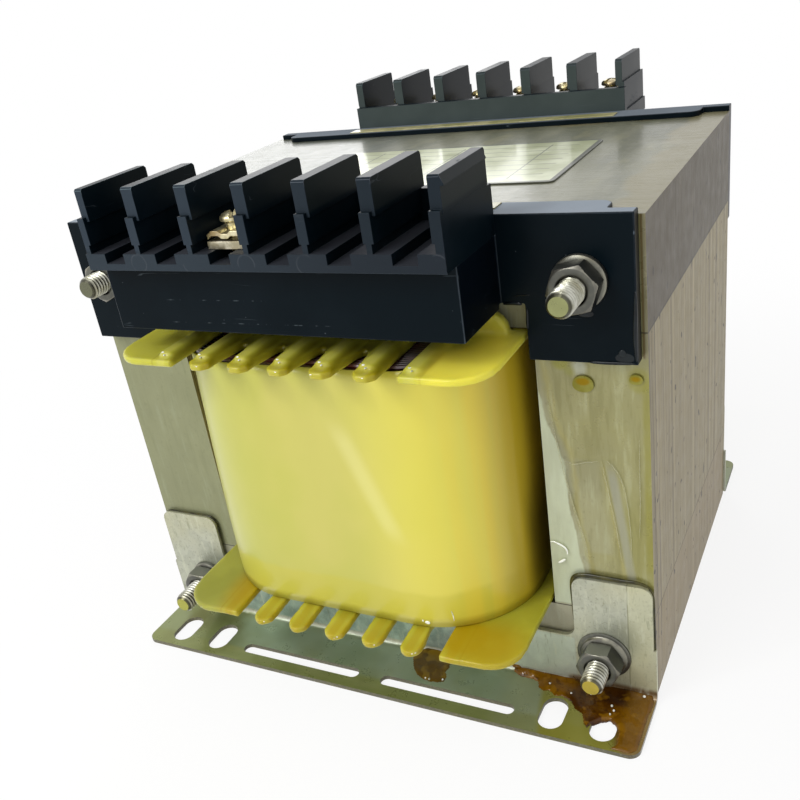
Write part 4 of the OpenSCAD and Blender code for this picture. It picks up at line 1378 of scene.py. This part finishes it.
def puddle(name, edge, depth, finish, base=1.2, step=0.35):
    """Pooled varnish on a foot's sole, its rim rounded, climbing the fold behind it, in mm."""
    xs = np.arange(min(p[0] for p in edge), max(p[0] for p in edge) + step, step)
    ys = np.arange(min(p[1] for p in edge), max(p[1] for p in edge) + step, step)
    grid = np.array([(x, y) for y in ys for x in xs])
    x, y = grid[:, 0], grid[:, 1]
    deep = inside_distance(grid, edge)
    wave = 0.5 + 0.25 * np.sin(x * 0.9 + 1.3) + 0.25 * np.sin(y * 1.1 + x * 0.5)
    rise = depth * np.sqrt(np.clip(deep / 1.4, 0, 1)) * (0.55 + 0.45 * wave)
    fold_y, fold_high = -52.2, 1.9
    climb = fold_high * np.exp(y - fold_y) * np.clip(deep / 0.8, 0, 1)
    top = base - 0.04 + rise + np.clip(climb, 0, fold_high)
    slot_x, slot_y = 66.5, -64.95
    slot = (np.abs(x - slot_x) < 3.3) & (np.abs(y - slot_y) < 5.6)
    low = np.where(slot, 0.15, base - 0.12)
    keep = (deep > -step * 0.3).reshape(len(ys), len(xs))
    verts, faces, number = [], [], {}

    def corner(layer, j, i):
        key = (layer, j, i)
        if key not in number:
            number[key] = len(verts)
            k = j * len(xs) + i
            verts.append((x[k] * MM, y[k] * MM, (top if layer else low)[k] * MM))
        return number[key]

    cells = {(j, i) for j in range(len(ys) - 1) for i in range(len(xs) - 1)
             if keep[j:j + 2, i:i + 2].all()}
    for j, i in cells:
        ring = ((j, i), (j, i + 1), (j + 1, i + 1), (j + 1, i))
        faces.append([corner(1, *c) for c in ring])
        faces.append([corner(0, *c) for c in reversed(ring)])
        for (da, db), a, b in (((-1, 0), 0, 1), ((0, 1), 1, 2), ((1, 0), 2, 3), ((0, -1), 3, 0)):
            if (j + da, i + db) not in cells:
                p, q = ring[a], ring[b]
                faces.append([corner(1, *q), corner(1, *p), corner(0, *p), corner(0, *q)])
    piece = solid_object(name, verts, faces)
    piece.data.materials.append(finish_named(finish))
    ease = piece.modifiers.new("Ease", "SMOOTH")
    ease.factor, ease.iterations = 0.5, 4
    show(smooth(settle(piece), 60), "foot_zinc")


def blob(place, size, sag=0.1):
    """A flattened drop round a place in mm, heavier low down where sag is above 0."""
    work = bmesh.new()
    bmesh.ops.create_icosphere(work, subdivisions=4, radius=1.0)
    for vert in work.verts:
        x, y, z = vert.co
        low = max(0.0, -z) * sag
        vert.co = Vector((
            (place[0] + x * size[0] * (1 + low * 0.5)) * MM,
            (place[1] + y * size[1] * (1 + low * 0.9)) * MM,
            (place[2] + z * size[2]) * MM))
    mesh = bpy.data.meshes.new("blob")
    work.to_mesh(mesh)
    work.free()
    return mesh_object("blob", mesh)


def bead_line(path, radius, flat):
    """A thin bead along a path of points in mm, tapering to both ends, flattened along Y."""
    sides, steps = 10, 8
    spots = [Vector(p) for p in path]
    fine = []
    for k in range(len(spots) - 1):
        before, after = spots[max(k - 1, 0)], spots[min(k + 2, len(spots) - 1)]
        a, b = spots[k], spots[k + 1]
        for t in np.linspace(0, 1, steps, endpoint=False):
            fine.append(0.5 * (
                2 * a + (b - before) * t + (2 * before - 5 * a + 4 * b - after) * t ** 2
                + (3 * a - before - 3 * b + after) * t ** 3))
    fine.append(spots[-1])
    last = len(fine) - 1
    verts, faces = [], []
    for k, spot in enumerate(fine):
        r = radius * max(0.04, math.sin(math.pi * (k / last)) ** 0.35)
        ahead = (fine[min(k + 1, last)] - fine[max(k - 1, 0)]).normalized()
        side = ahead.cross(Vector((0, 1, 0))).normalized()
        for i in range(sides):
            angle = TAU * i / sides
            verts.append((spot + side * r * math.cos(angle)
                          + Vector((0, 1, 0)) * r * flat * math.sin(angle)) * MM)
    for k in range(last):
        for i in range(sides):
            a, b = k * sides + i, k * sides + (i + 1) % sides
            faces.append((a, b, b + sides, a + sides))
    faces.append(list(range(sides - 1, -1, -1)))
    faces.append([last * sides + i for i in range(sides)])
    return solid_object("bead", verts, faces)


def upright(y, *path):
    """A path of (x, z) pairs at one depth."""
    return [(x, y, z) for x, z in path]


# ---------------------------------------------------------------- pieces


class PartOperator:
    """Shared by the operators that build pieces."""

    bl_options = {"REGISTER", "UNDO"}

    def execute(self, context):
        settings()
        self.build()
        return {"FINISHED"}


class PairOperator(PartOperator):
    """Shared by the operators that finish one CAD node at the front and its like at the back."""

    def build(self):
        for side in SIDES:
            node = side + "_" + self.node
            piece = dressed(side + "_" + self.piece, node, self.finishes,
                            getattr(SIZES, self.edge) / MM)
            show(piece, self.slot, node)


class TRANSFORMER_OT_stage(PartOperator, bpy.types.Operator):
    """Sets the floor, the even light, four lamps and the camera"""

    bl_idname = "transformer.stage"
    bl_label = "Stage"

    def build(self):
        corners = [(x, y, 0.0) for x, y in ((-4, -4), (4, -4), (4, 4), (-4, 4))]
        mesh = bpy.data.meshes.new("floor")
        mesh.from_pydata(corners, [], [(0, 1, 2, 3)])
        mesh.materials.append(finish_named("floor"))
        mesh_object("floor", mesh)
        self.world()
        self.lamp("key_lamp", (-0.3, -0.6, 0.6), (0, 0, 0.06), 0.45, STAGE.key)
        self.lamp("glint_lamp", (-0.36, -0.5, 0.66), (0, 0, 0.06), 0.05, STAGE.glint)
        self.lamp("ceiling_lamp", (0.04, -0.3, 0.85), (0, 0, 0.06), 0.06, STAGE.glint)
        self.lamp("rear_lamp", (-0.45, 0.7, 0.45), (0, 0, 0.12), 0.45, STAGE.rear)
        self.camera()

    def world(self):
        """White where the background itself shows, and an even, weaker light elsewhere."""
        world = bpy.data.worlds.new("studio")
        bpy.context.scene.world = world
        world.use_nodes = True
        tree = Maker(world.node_tree)
        world.node_tree.nodes.clear()
        strength = tree.plain_view() * (1.0 - STAGE.fill) + STAGE.fill
        sky = tree.node("ShaderNodeBackground", None, {
            "Color": (1.0, 1.0, 1.0), "Strength": strength})
        end = world.node_tree.nodes.new("ShaderNodeOutputWorld")
        world.node_tree.links.new(sky.socket, end.inputs[0])

    def lamp(self, name, place, aim, size, power):
        data = bpy.data.lights.new(name, "AREA")
        data.size = size
        data.energy = power
        lamp = mesh_object(name, data)
        lamp.location = place
        lamp.rotation_euler = (Vector(aim) - Vector(place)).to_track_quat("-Z", "Y").to_euler()

    def camera(self):
        azimuth, elevation, roll = STAGE.azimuth, STAGE.elevation, STAGE.roll
        back = Vector((
            math.sin(azimuth) * math.cos(elevation), -math.cos(azimuth) * math.cos(elevation),
            math.sin(elevation)))
        right = (-back).cross(Vector((0, 0, 1))).normalized()
        up = right.cross(-back)
        side = right * math.cos(roll) + up * math.sin(roll)
        over = up * math.cos(roll) - right * math.sin(roll)
        data = bpy.data.cameras.new("camera")
        data.sensor_width = 36.0
        data.lens = STAGE.lens
        data.shift_x, data.shift_y = -0.0018, 0.0395
        data.clip_start, data.clip_end = 0.01, 20.0
        camera = mesh_object("camera", data)
        turn = Matrix((side, over, back)).transposed()
        camera.matrix_world = Matrix.Translation(
            Vector(STAGE.aim) + back * STAGE.distance) @ turn.to_4x4()
        scene = bpy.context.scene
        scene.camera = camera
        scene.view_settings.view_transform = "Standard"


class TRANSFORMER_OT_core(PartOperator, bpy.types.Operator):
    """Stacks the sheets of the two yokes and the three limbs"""

    bl_idname = "transformer.core"
    bl_label = "Core"

    def build(self):
        sheets = round(2 * FACE / SIZES.sheet)
        parts = ("top_yoke", "bottom_yoke", "left_limb", "right_limb", "centre_limb")
        for seed, part in enumerate(parts):
            node = "core_" + part
            low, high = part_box(node)
            limb = part.endswith("limb")
            gap = SIZES.joint_gap if limb else 0.0
            piece = grow(
                part + "_sheets", recipe(sheet_stack_recipe), "core",
                Width=high.x - low.x, Height=high.z - low.z - 2 * gap, Left=low.x,
                Low=low.z + gap, Front=-FACE + SIZES.sheet, Sheets=sheets,
                Sheet=2 * FACE / sheets, Play=SIZES.sheet_play, Hole_Place=BOLT_X,
                Hole_Size=0.0 if limb else 0.0035, Seed=seed + 1)
            show(piece, "core", node)


class TRANSFORMER_OT_winding(PartOperator, bpy.types.Operator):
    """Lays the turns of wire over the winding's bulk"""

    bl_idname = "transformer.winding"
    bl_label = "Winding"

    def build(self):
        wire = SIZES.wire
        rows = int((COIL_HIGH.z - COIL_LOW.z) / wire)
        turns = grow(
            "turns", recipe(turns_recipe), "enamel", Half_Width=COIL_HIGH.x - wire / 2,
            Half_Depth=COIL_HIGH.y - wire / 2, Corner=COIL_CORNER - wire / 2,
            Low=COIL_HIGH.z - wire / 2 - (rows - 1) * wire, Rows=rows, Layers=14, Pitch=wire)
        bulk = dressed("bulk", "winding", ["enamel"], 0.2, 1)
        co = points_of(bulk.data)
        outer = np.maximum(np.abs(co[:, 0]) / COIL_HIGH.x, np.abs(co[:, 1]) / COIL_HIGH.y) > 0.7
        top = co[:, 2] > (COIL_LOW.z + COIL_HIGH.z) / 2
        drawn_in = wire * 2.9
        co[outer, 0] *= 1 - drawn_in / COIL_HIGH.x
        co[outer, 1] *= 1 - drawn_in / COIL_HIGH.y
        co[top, 2] -= wire * 0.5
        set_points(bulk.data, co)
        piece = joined("winding_turns", [turns, bulk], "enamel")
        show(smooth(piece, 50), "magnet_wire", "winding")


class TRANSFORMER_OT_wrap(PartOperator, bpy.types.Operator):
    """Wraps the yellow film round the winding"""

    bl_idname = "transformer.wrap"
    bl_label = "Wrapped Film"

    def build(self):
        low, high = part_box("winding_wrap")
        piece = grow(
            "wrapped_film", recipe(band_recipe), "film", Half_Width=high.x,
            Half_Depth=high.y, Corner=0.026, Low=low.z, High=high.z, Film=SIZES.film)
        show(piece, "wrap", "winding_wrap")


class TRANSFORMER_OT_bobbin(PartOperator, bpy.types.Operator):
    """Builds the bobbin's tube and its two flanges with fingers and ears"""

    bl_idname = "transformer.bobbin"
    bl_label = "Bobbin"

    def build(self):
        tube = dressed("bobbin_wall", "bobbin_tube", ["bobbin"], 0.2, 1)
        show(tube, "bobbin", "bobbin_tube")
        for name, node, shape in (
                ("upper_flange", "bobbin_top_flange", self.hollow),
                ("lower_flange", "bobbin_bottom_flange", self.droop)):
            show(softened(name, node, "bobbin", SIZES.bobbin_grain, shape), "bobbin", node)

    def hollow(self, mesh):
        """Draws the upper flange's webs in between the fingers, so the wire shows below them."""
        co = points_of(mesh)
        reach = np.abs(co[:, 1]) - FACE
        bay = np.abs(co[:, 0] / FINGER_PITCH - np.round(co[:, 0] / FINGER_PITCH))
        aside = (0.5 - bay) * FINGER_PITCH
        drawn = np.clip((0.0024 - aside) / 0.0009, 0, 1) * np.clip((reach - 0.016) / 0.004, 0, 1)
        drawn[np.abs(co[:, 0]) > 2 * FINGER_PITCH] = 0
        depth = 0.0021
        co[:, 1] -= np.sign(co[:, 1]) * depth * drawn
        set_points(mesh, co)

    def droop(self, mesh):
        """Lets the lower flange's fingers hang a little, narrows them and rounds their tips."""
        co = points_of(mesh)
        reach = np.abs(co[:, 1]) - FACE
        sag, sag_from, sag_run = 0.0007, 0.006, 0.0226
        out = np.clip((reach - sag_from) / sag_run, 0, 1)
        wave = 1 + 0.25 * np.sin(co[:, 0] * 420.0)
        co[:, 2] -= sag * out ** 2 * wave
        middle = np.clip(np.round(co[:, 0] / FINGER_PITCH), -2, 2) * FINGER_PITCH
        wide = np.interp(reach, (0.015, 0.0245), (FINGER_PITCH / 2 - 0.0007, FINGER_HALF))
        narrow = 1 + np.clip((reach - 0.016) / 0.002, 0, 1) * (FINGER_HALF / wide - 1)
        finger = np.abs(co[:, 0] - middle) < 0.0053
        co[:, 0] = np.where(finger, middle + (co[:, 0] - middle) * narrow, co[:, 0])
        # past the tip's centre, the cut corner is drawn in to a half circle
        aside = np.clip(np.abs(co[:, 0] - middle), 0, FINGER_HALF)
        straight = 0.0294 - np.clip(aside - 0.0013, 0, 1) * 1.125
        arc = FINGER_TIP + np.sqrt(FINGER_HALF ** 2 - aside ** 2)
        inward = np.clip((reach - FINGER_TIP) / (straight - FINGER_TIP), 0, 1) * (straight - arc)
        co[:, 1] = np.where(
            finger & (reach > FINGER_TIP), co[:, 1] - np.sign(co[:, 1]) * inward, co[:, 1])
        set_points(mesh, co)


class TRANSFORMER_OT_feet(PairOperator, bpy.types.Operator):
    """Finishes the two folded feet"""

    bl_idname = "transformer.feet"
    bl_label = "Feet"
    node, piece, slot, edge = "foot", "folded_foot", "foot_zinc", "metal_edge"
    finishes = ("zinc", "zinc_edge")


class TRANSFORMER_OT_brackets(PairOperator, bpy.types.Operator):
    """Finishes the moulded brackets under the rails"""

    bl_idname = "transformer.brackets"
    bl_label = "Brackets"
    node, piece, slot, edge = "bracket", "moulded_bracket", "black_plastic", "plastic_edge"
    finishes = ("plastic", "plastic_edge")


class TRANSFORMER_OT_rails(PairOperator, bpy.types.Operator):
    """Finishes the barriered terminal rails"""

    bl_idname = "transformer.rails"
    bl_label = "Terminal Rails"
    node, piece, slot, edge = "rail", "moulded_rail", "black_plastic", "plastic_edge"
    finishes = ("rail", "plastic_edge")


class TRANSFORMER_OT_terminals(PartOperator, bpy.types.Operator):
    """Sets the terminals' bars, saddle clamps and screws in their bays"""

    bl_idname = "transformer.terminals"
    bl_label = "Terminals"

    def build(self):
        low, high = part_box("front_terminal_screw")
        at, half = (low + high) / 2, (high.x - low.x) / 2
        back_low, back_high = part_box("back_terminal_screws")
        back_x = np.linspace(back_low.x + half, back_high.x - half, 6)
        for kind, slot, finish, edge in (
                ("plate", "terminal_nickel", "nickel", 0.22),
                ("clamp", "terminal_brass", "brass", 0.2)):
            node = "front_terminal_" + kind
            show(dressed("front_" + kind, node, [finish], edge), slot, node)
            part = dressed("part", node, [finish], edge)
            part.data.transform(Matrix.Translation((-at.x, -at.y, 0)))
            group = scattered("back_{}s".format(kind), part, finish, [
                ((x, -at.y, 0.0), (0, 0, math.pi)) for x in back_x])
            show(smooth(group), slot, "back_terminal_{}s".format(kind))
        front = [((at.x, at.y, low.z), (0, 0, 0.5))]
        back = [((x, -at.y, low.z), (0, 0, 0.4 + 1.1 * i)) for i, x in enumerate(back_x)]
        for name, node, places in (("front_screw", "front_terminal_screw", front),
                                   ("back_screws", "back_terminal_screws", back)):
            group = scattered(name, self.screw((high.z - low.z) / MM), "brass", places)
            show(smooth(group, 40), "terminal_brass", node)

    def screw(self, tall):
        """A domed head on a bare shank, with a crossed slot."""
        head = tall - 1.9
        radius = 3.0
        dome = [(radius * math.cos(a), head + 0.6 + 1.3 * math.sin(a))
                for a in np.radians((0, 18, 36, 54, 70, 82))]
        profile = [(0, 0), (1.4, 0), (1.75, 0.35), (1.75, head - 0.9), (2.1, head - 0.85),
                   (2.1, head - 0.45), (1.75, head - 0.4), (1.75, head), (2.75, head),
                   (radius, head + 0.2)] + dome + [(0, tall)]
        blank = turned("screw", profile, 32)
        for name, wide, long in (("slot", 1.0, 7.0), ("cross", 3.6, 1.0)):
            knife = solid_object(name, [
                (x * wide / 2 * MM, y * long / 2 * MM, z * MM)
                for x in (-1, 1) for y in (-1, 1) for z in (tall - 1.1, tall + 1)],
                [(0, 1, 3, 2), (4, 6, 7, 5), (0, 4, 5, 1), (2, 3, 7, 6), (0, 2, 6, 4),
                 (1, 5, 7, 3)])
            cut = blank.modifiers.new(name, "BOOLEAN")
            cut.operation = "DIFFERENCE"
            cut.solver = "EXACT"
            cut.object = knife
            settle(blank)
            bpy.data.objects.remove(knife)
        return blank


class TRANSFORMER_OT_bolts(PartOperator, bpy.types.Operator):
    """Cuts the four through bolts with their threads and heads"""

    bl_idname = "transformer.bolts"
    bl_label = "Through Bolts"

    def build(self):
        for level, side, sign in BOLTS:
            node = "bolt_{}_{}".format(level, side)
            low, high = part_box(node)
            thread = grow(
                "thread", recipe(thread_recipe), "plated", Radius=BOLT_RADIUS,
                Length=THREAD_RUN, Pitch=SIZES.thread_pitch, Depth=SIZES.thread_depth)
            rest = (high.y - low.y - THREAD_RUN) / MM + 0.3
            head = hexagon(4.0, SIZES.nut_flats / MM, False)
            rod = turned("rod", [(0, 3.9), (2.9, 3.9), (2.9, rest), (0.0, rest)], 24)
            for part, y in ((thread, low.y + THREAD_RUN), (head, high.y), (rod, high.y)):
                part.data.transform(Matrix.Rotation(math.pi / 2, 4, "X"))
                part.data.transform(Matrix.Translation((sign * BOLT_X, y, BOLT_Z[level])))
            bolt = joined(node + "_threaded", [thread, head, rod], "plated")
            show(smooth(bolt, 32), "zinc_fixings", node)


class TRANSFORMER_OT_nuts(PartOperator, bpy.types.Operator):
    """Sets the nuts and washers on the through bolts"""

    bl_idname = "transformer.nuts"
    bl_label = "Nuts and Washers"

    PLAIN = [(3.2, 0), (5.8, 0), (6.0, 0.2), (6.0, 0.9), (5.86, 1.2), (5.5, 1.45),
             (4.8, 1.6), (3.4, 1.6), (3.2, 1.4), (3.2, 0)]
    DOMED = [(3.2, 0), (6.8, 0), (7.0, 0.15), (6.95, 0.4), (6.4, 0.62), (6.15, 0.62),
             (6.0, 0.75), (5.8, 1.15), (5.2, 1.5), (4.7, 1.6), (3.4, 1.6), (3.2, 1.4), (3.2, 0)]
    LEAN = {"top_left": 0.1, "top_right": 0.32, "bottom_left": 0.55, "bottom_right": 0.47}

    def build(self):
        seats = {"top": FACE + BRACKET_PLATE, "bottom": FACE + FOOT_SHEET}
        nut_places, back_places, rings = [], [], []
        for level, side, sign in BOLTS:
            x, z, seat = sign * BOLT_X, BOLT_Z[level], seats[level]
            corner = level + "_" + side
            profile = self.DOMED if corner == "bottom_right" else self.PLAIN
            rings.append(scattered("front_washer", turned("washer", profile, 48), "nut", [
                ((x, -seat, z), (math.pi / 2, 0, 0))]))
            back_places.append(((x, seat, z), (-math.pi / 2, 0, 0)))
            nut_places.append(((x, -seat - WASHER, z), (math.pi / 2, self.LEAN[corner], 0)))
        nut = hexagon(5.0, SIZES.nut_flats / MM, True)
        show(smooth(scattered("hex_nuts", nut, "nut", nut_places), 32),
             "zinc_fixings", "front_nuts")
        show(smooth(joined("front_flat_washers", rings, "nut"), 30),
             "zinc_fixings", "front_washers")
        washer = turned("washer", self.PLAIN, 48)
        show(smooth(scattered("back_flat_washers", washer, "nut", back_places), 30),
             "zinc_fixings", "back_washers")


class TRANSFORMER_OT_labels(PartOperator, bpy.types.Operator):
    """Lays the bare nameplate and the plain marker strips"""

    bl_idname = "transformer.labels"
    bl_label = "Nameplate and Strips"

    def build(self):
        plate = dressed("bare_nameplate", "nameplate", ["nameplate"], 0.12)
        show(plate, "nameplate_metal", "nameplate")
        for side in SIDES:
            node = side + "_marker_strip"
            show(dressed(side + "_plain_strip", node, ["marker"], 0.1), "marker_label", node)


class TRANSFORMER_OT_varnish(PartOperator, bpy.types.Operator):
    """Adds varnish that has pooled, run and dripped, and painted glints on it"""

    bl_idname = "transformer.varnish"
    bl_label = "Varnish"

    def build(self):
        self.pool()
        self.rims()
        self.runs()
        self.drops()
        self.glints()

    def gathered(self, name, parts, finish, slot, degrees=80):
        show(smooth(joined(name, parts, finish), degrees), slot)

    def rims(self):
        """Dark varnish gathered along the edges of the front foot's tabs."""
        y = -FACE / MM - 0.35
        right = upright(y, (56.0, 19.5), (55.9, 27.0), (55.9, 33.4), (56.8, 35.8), (59.2, 36.7),
                        (63.5, 36.8), (68.0, 36.7), (72.6, 36.8), (75.3, 35.9))
        flank = upright(y, (75.0, 36.0), (76.2, 33.4), (76.3, 26.0), (76.35, 16.0), (76.35, 8.0),
                        (76.35, 2.6))
        left = upright(y, (-75.6, 34.8), (-73.2, 36.2), (-68.0, 36.25), (-59.5, 36.2),
                       (-57.0, 35.5), (-55.95, 33.0), (-55.9, 27.0), (-56.0, 20.0))
        self.gathered("tab_varnish", [
            bead_line(right, 0.62, 0.8), bead_line(flank, 0.36, 0.9), bead_line(left, 0.3, 0.9)],
            "rim", "foot_zinc", 60)

    def pool(self):
        """Varnish pooled over the front foot's right corner, and a thin patch left of it."""
        puddle("corner_pool", [
            (37.5, -51.9), (38.0, -53.6), (40.5, -54.7), (43.4, -54.6), (45.6, -55.4),
            (46.4, -57.4), (48.2, -58.3), (49.6, -57.6), (51.2, -59.0), (53.4, -58.7),
            (56.0, -59.6), (57.7, -62.0), (60.0, -63.2), (61.6, -66.8), (62.7, -67.4),
            (63.6, -65.6), (65.2, -64.2), (67.3, -62.9), (69.0, -64.1), (70.3, -66.5),
            (70.6, -70.6), (69.4, -72.1), (74.6, -72.2), (76.1, -70.6), (76.2, -62.0),
            (76.3, -52.0), (70.0, -51.9), (52.0, -51.9)], 0.75, "pool")
        puddle("amber_patch", [
            (8.2, -54.2), (9.6, -52.8), (11.2, -51.9), (15.0, -51.9), (19.6, -52.1),
            (20.2, -55.0), (20.4, -57.4), (20.3, -59.2), (21.2, -60.8), (21.4, -62.9),
            (19.2, -63.9), (17.2, -64.1), (15.0, -63.8), (12.4, -62.4), (10.4, -60.2),
            (8.7, -57.2)], 0.45, "pool")
        self.gathered("fold_beads", [
            blob((x, -52.45 - depth, z), (wide, 0.5, 0.55)) for x, z, wide, depth in (
                (38.8, 2.5, 1.3, 0.05), (41.4, 1.75, 1.0, 0.2), (44.3, 1.55, 1.5, 0.35))],
            "pool", "foot_zinc")
        # painted glints: small near-white beads on the pooled varnish
        self.gathered("pool_bubbles", [
            blob((x, y, z), (wide, wide, 0.3)) for x, y, z, wide in (
                (66.7, -58.7, 1.95, 0.34), (67.6, -60.2, 1.95, 0.3), (67.0, -61.6, 1.9, 0.26),
                (73.8, -53.6, 2.5, 0.4), (60.6, -56.2, 2.0, 0.3), (55.6, -57.4, 1.9, 0.26),
                (49.2, -55.6, 1.9, 0.3), (45.0, -53.2, 1.9, 0.28), (16.9, -63.3, 1.45, 0.3),
                (15.7, -63.2, 1.42, 0.24), (20.6, -62.4, 1.45, 0.26))],
            "bright", "foot_zinc")

    def runs(self):
        """Long thin rims of varnish down the right limb."""
        y = -FACE / MM + 0.03
        self.gathered("varnish_runs", [bead_line(upright(y, *path), wide, 0.4) for wide, *path in (
            (0.13, (53.2, 84.5), (54.4, 74.4), (55.9, 65.2), (57.5, 56.8), (59.4, 48.7),
             (60.4, 43.0)),
            (0.14, (64.9, 69.9), (65.6, 65.6), (66.9, 57.2), (68.0, 49.6), (68.9, 41.5)),
            (0.13, (66.0, 69.9), (67.4, 68.9), (69.0, 66.2), (70.1, 62.4), (70.9, 55.4),
             (71.2, 48.2), (71.0, 41.6)),
            (0.11, (73.8, 76.5), (73.7, 67.5), (73.6, 58.2), (73.2, 49.4)),
            (0.11, (56.3, 68.9), (58.5, 68.2), (61.2, 69.0), (64.2, 69.6)))],
            "clear", "core", 60)

    def drops(self):
        """Drops under the bracket, on the limb and at the bracket's corners, and a clear drip's
        painted highlight.
        """
        face, plate = -FACE / MM, -(FACE + BRACKET_PLATE) / MM
        self.gathered("low_drops", [
            blob((61.7, face, 89.2), (2.4, 0.09, 2.0), 0.3),
            blob((73.5, face, 91.0), (1.5, 0.08, 1.2), 0.3)], "amber_drop", "core")
        y = face - 0.04
        # painted highlight: near-white beads along the lit rim of a clear drip on the limb
        self.gathered("clear_drip", [
            bead_line(upright(y, (51.0, 45.0), (51.8, 45.2), (52.9, 44.9), (54.0, 44.4),
                              (54.8, 43.8), (55.2, 42.9), (55.2, 41.9)), 0.26, 0.7),
            bead_line(upright(y, (52.7, 39.0), (53.8, 39.8), (54.6, 40.4)), 0.34, 0.7)],
            "bright", "core")

        def line(radius, *path):
            return bead_line(upright(plate, *path), radius, 0.8)

        self.gathered("bracket_drips", [
            line(0.42, (46.0, 109.0), (48.2, 109.2), (50.4, 109.0)),
            line(0.2, (48.7, 111.0), (50.6, 111.1), (52.4, 111.2)),
            line(0.36, (51.2, 103.4), (51.3, 105.6), (51.5, 108.0)),
            blob((71.7, plate, 98.6), (0.8, 0.3, 0.9), 0.3),
            blob((72.2, plate, 97.6), (2.0, 0.1, 1.1), 0.2),
            line(0.42, (64.5, 96.25), (69.0, 96.3), (74.4, 96.4)),
            line(0.45, (74.7, 96.8), (74.5, 102.0), (74.7, 107.5), (74.8, 112.5)),
            blob((64.3, plate, 107.3), (1.7, 0.3, 0.8), 0.2)], "dark_drop", "black_plastic")

    def glints(self):
        """Painted glints: small near-white beads on the front fingers and at the foot of the film.
        """
        pitch = FINGER_PITCH / MM
        beads = []
        for k in range(-3, 4):
            x = k * pitch - 0.3
            beads.append(blob((x - 0.3, -76.3, 102.68), (0.42, 0.24, 0.2)))
            beads.append(blob((x + 0.5, -77.0, 102.3), (0.24, 0.34, 0.18)))
            if abs(k) < 3:
                beads.append(blob((x + 0.9 * (-1) ** k, -79.66, 101.15), (0.3, 0.12, 0.12)))
        for k, x, y, z in (
                (-2, 1.1, -80.12, 26.35), (0, 0.9, -80.2, 26.0), (0, 1.6, -79.9, 26.25),
                (1, 1.5, -79.95, 26.4), (2, 1.2, -80.1, 26.35), (2, 1.9, -79.7, 26.45)):
            beads.append(blob((k * pitch + x, y, z), (0.28, 0.28, 0.24)))
        self.gathered("finger_glints", beads, "bright", "bobbin")
        self.gathered("film_glints", [
            blob((23.9, -71.05, 29.0), (0.75, 0.22, 0.5)),
            blob((22.7, -71.15, 29.4), (0.24, 0.2, 0.3)),
            bead_line([(30.2, -69.4, 32.9), (30.5, -69.25, 31.2), (30.55, -69.2, 29.5)],
                      0.14, 0.9)], "bright", "wrap")


OPERATORS = (
    TRANSFORMER_OT_stage, TRANSFORMER_OT_core, TRANSFORMER_OT_winding, TRANSFORMER_OT_wrap,
    TRANSFORMER_OT_bobbin, TRANSFORMER_OT_feet, TRANSFORMER_OT_brackets, TRANSFORMER_OT_rails,
    TRANSFORMER_OT_terminals, TRANSFORMER_OT_bolts, TRANSFORMER_OT_nuts,
    TRANSFORMER_OT_labels, TRANSFORMER_OT_varnish,
)


class TRANSFORMER_PT_parts(bpy.types.Panel):
    """Lists the sizes, the colours and the buttons that build each piece"""

    bl_idname = "TRANSFORMER_PT_parts"
    bl_label = "Control Transformer"
    bl_space_type = "VIEW_3D"
    bl_region_type = "UI"
    bl_category = "Transformer"

    def draw(self, context):
        layout = self.layout
        for operator in OPERATORS:
            layout.operator(operator.bl_idname)
        for title, group in (
            ("Sizes", context.scene.transformer_sizes),
            ("Colours", context.scene.transformer_colours),
            ("Stage", context.scene.transformer_stage),
        ):
            box = layout.box()
            box.label(text=title)
            for name in group.__annotations__:
                box.prop(group, name)


CLASSES = (
    TransformerSizes, TransformerColours, TransformerStage, *OPERATORS, TRANSFORMER_PT_parts,
)


def register():
    for cls in CLASSES:
        bpy.utils.register_class(cls)
    scene = bpy.types.Scene
    scene.transformer_sizes = bpy.props.PointerProperty(type=TransformerSizes)
    scene.transformer_colours = bpy.props.PointerProperty(type=TransformerColours)
    scene.transformer_stage = bpy.props.PointerProperty(type=TransformerStage)


def unregister():
    scene = bpy.types.Scene
    del scene.transformer_sizes, scene.transformer_colours, scene.transformer_stage
    for cls in reversed(CLASSES):
        bpy.utils.unregister_class(cls)


def main():
    register()
    for operator in OPERATORS:
        family, name = operator.bl_idname.split(".")
        getattr(getattr(bpy.ops, family), name)()


if __name__ == "__main__":
    main()
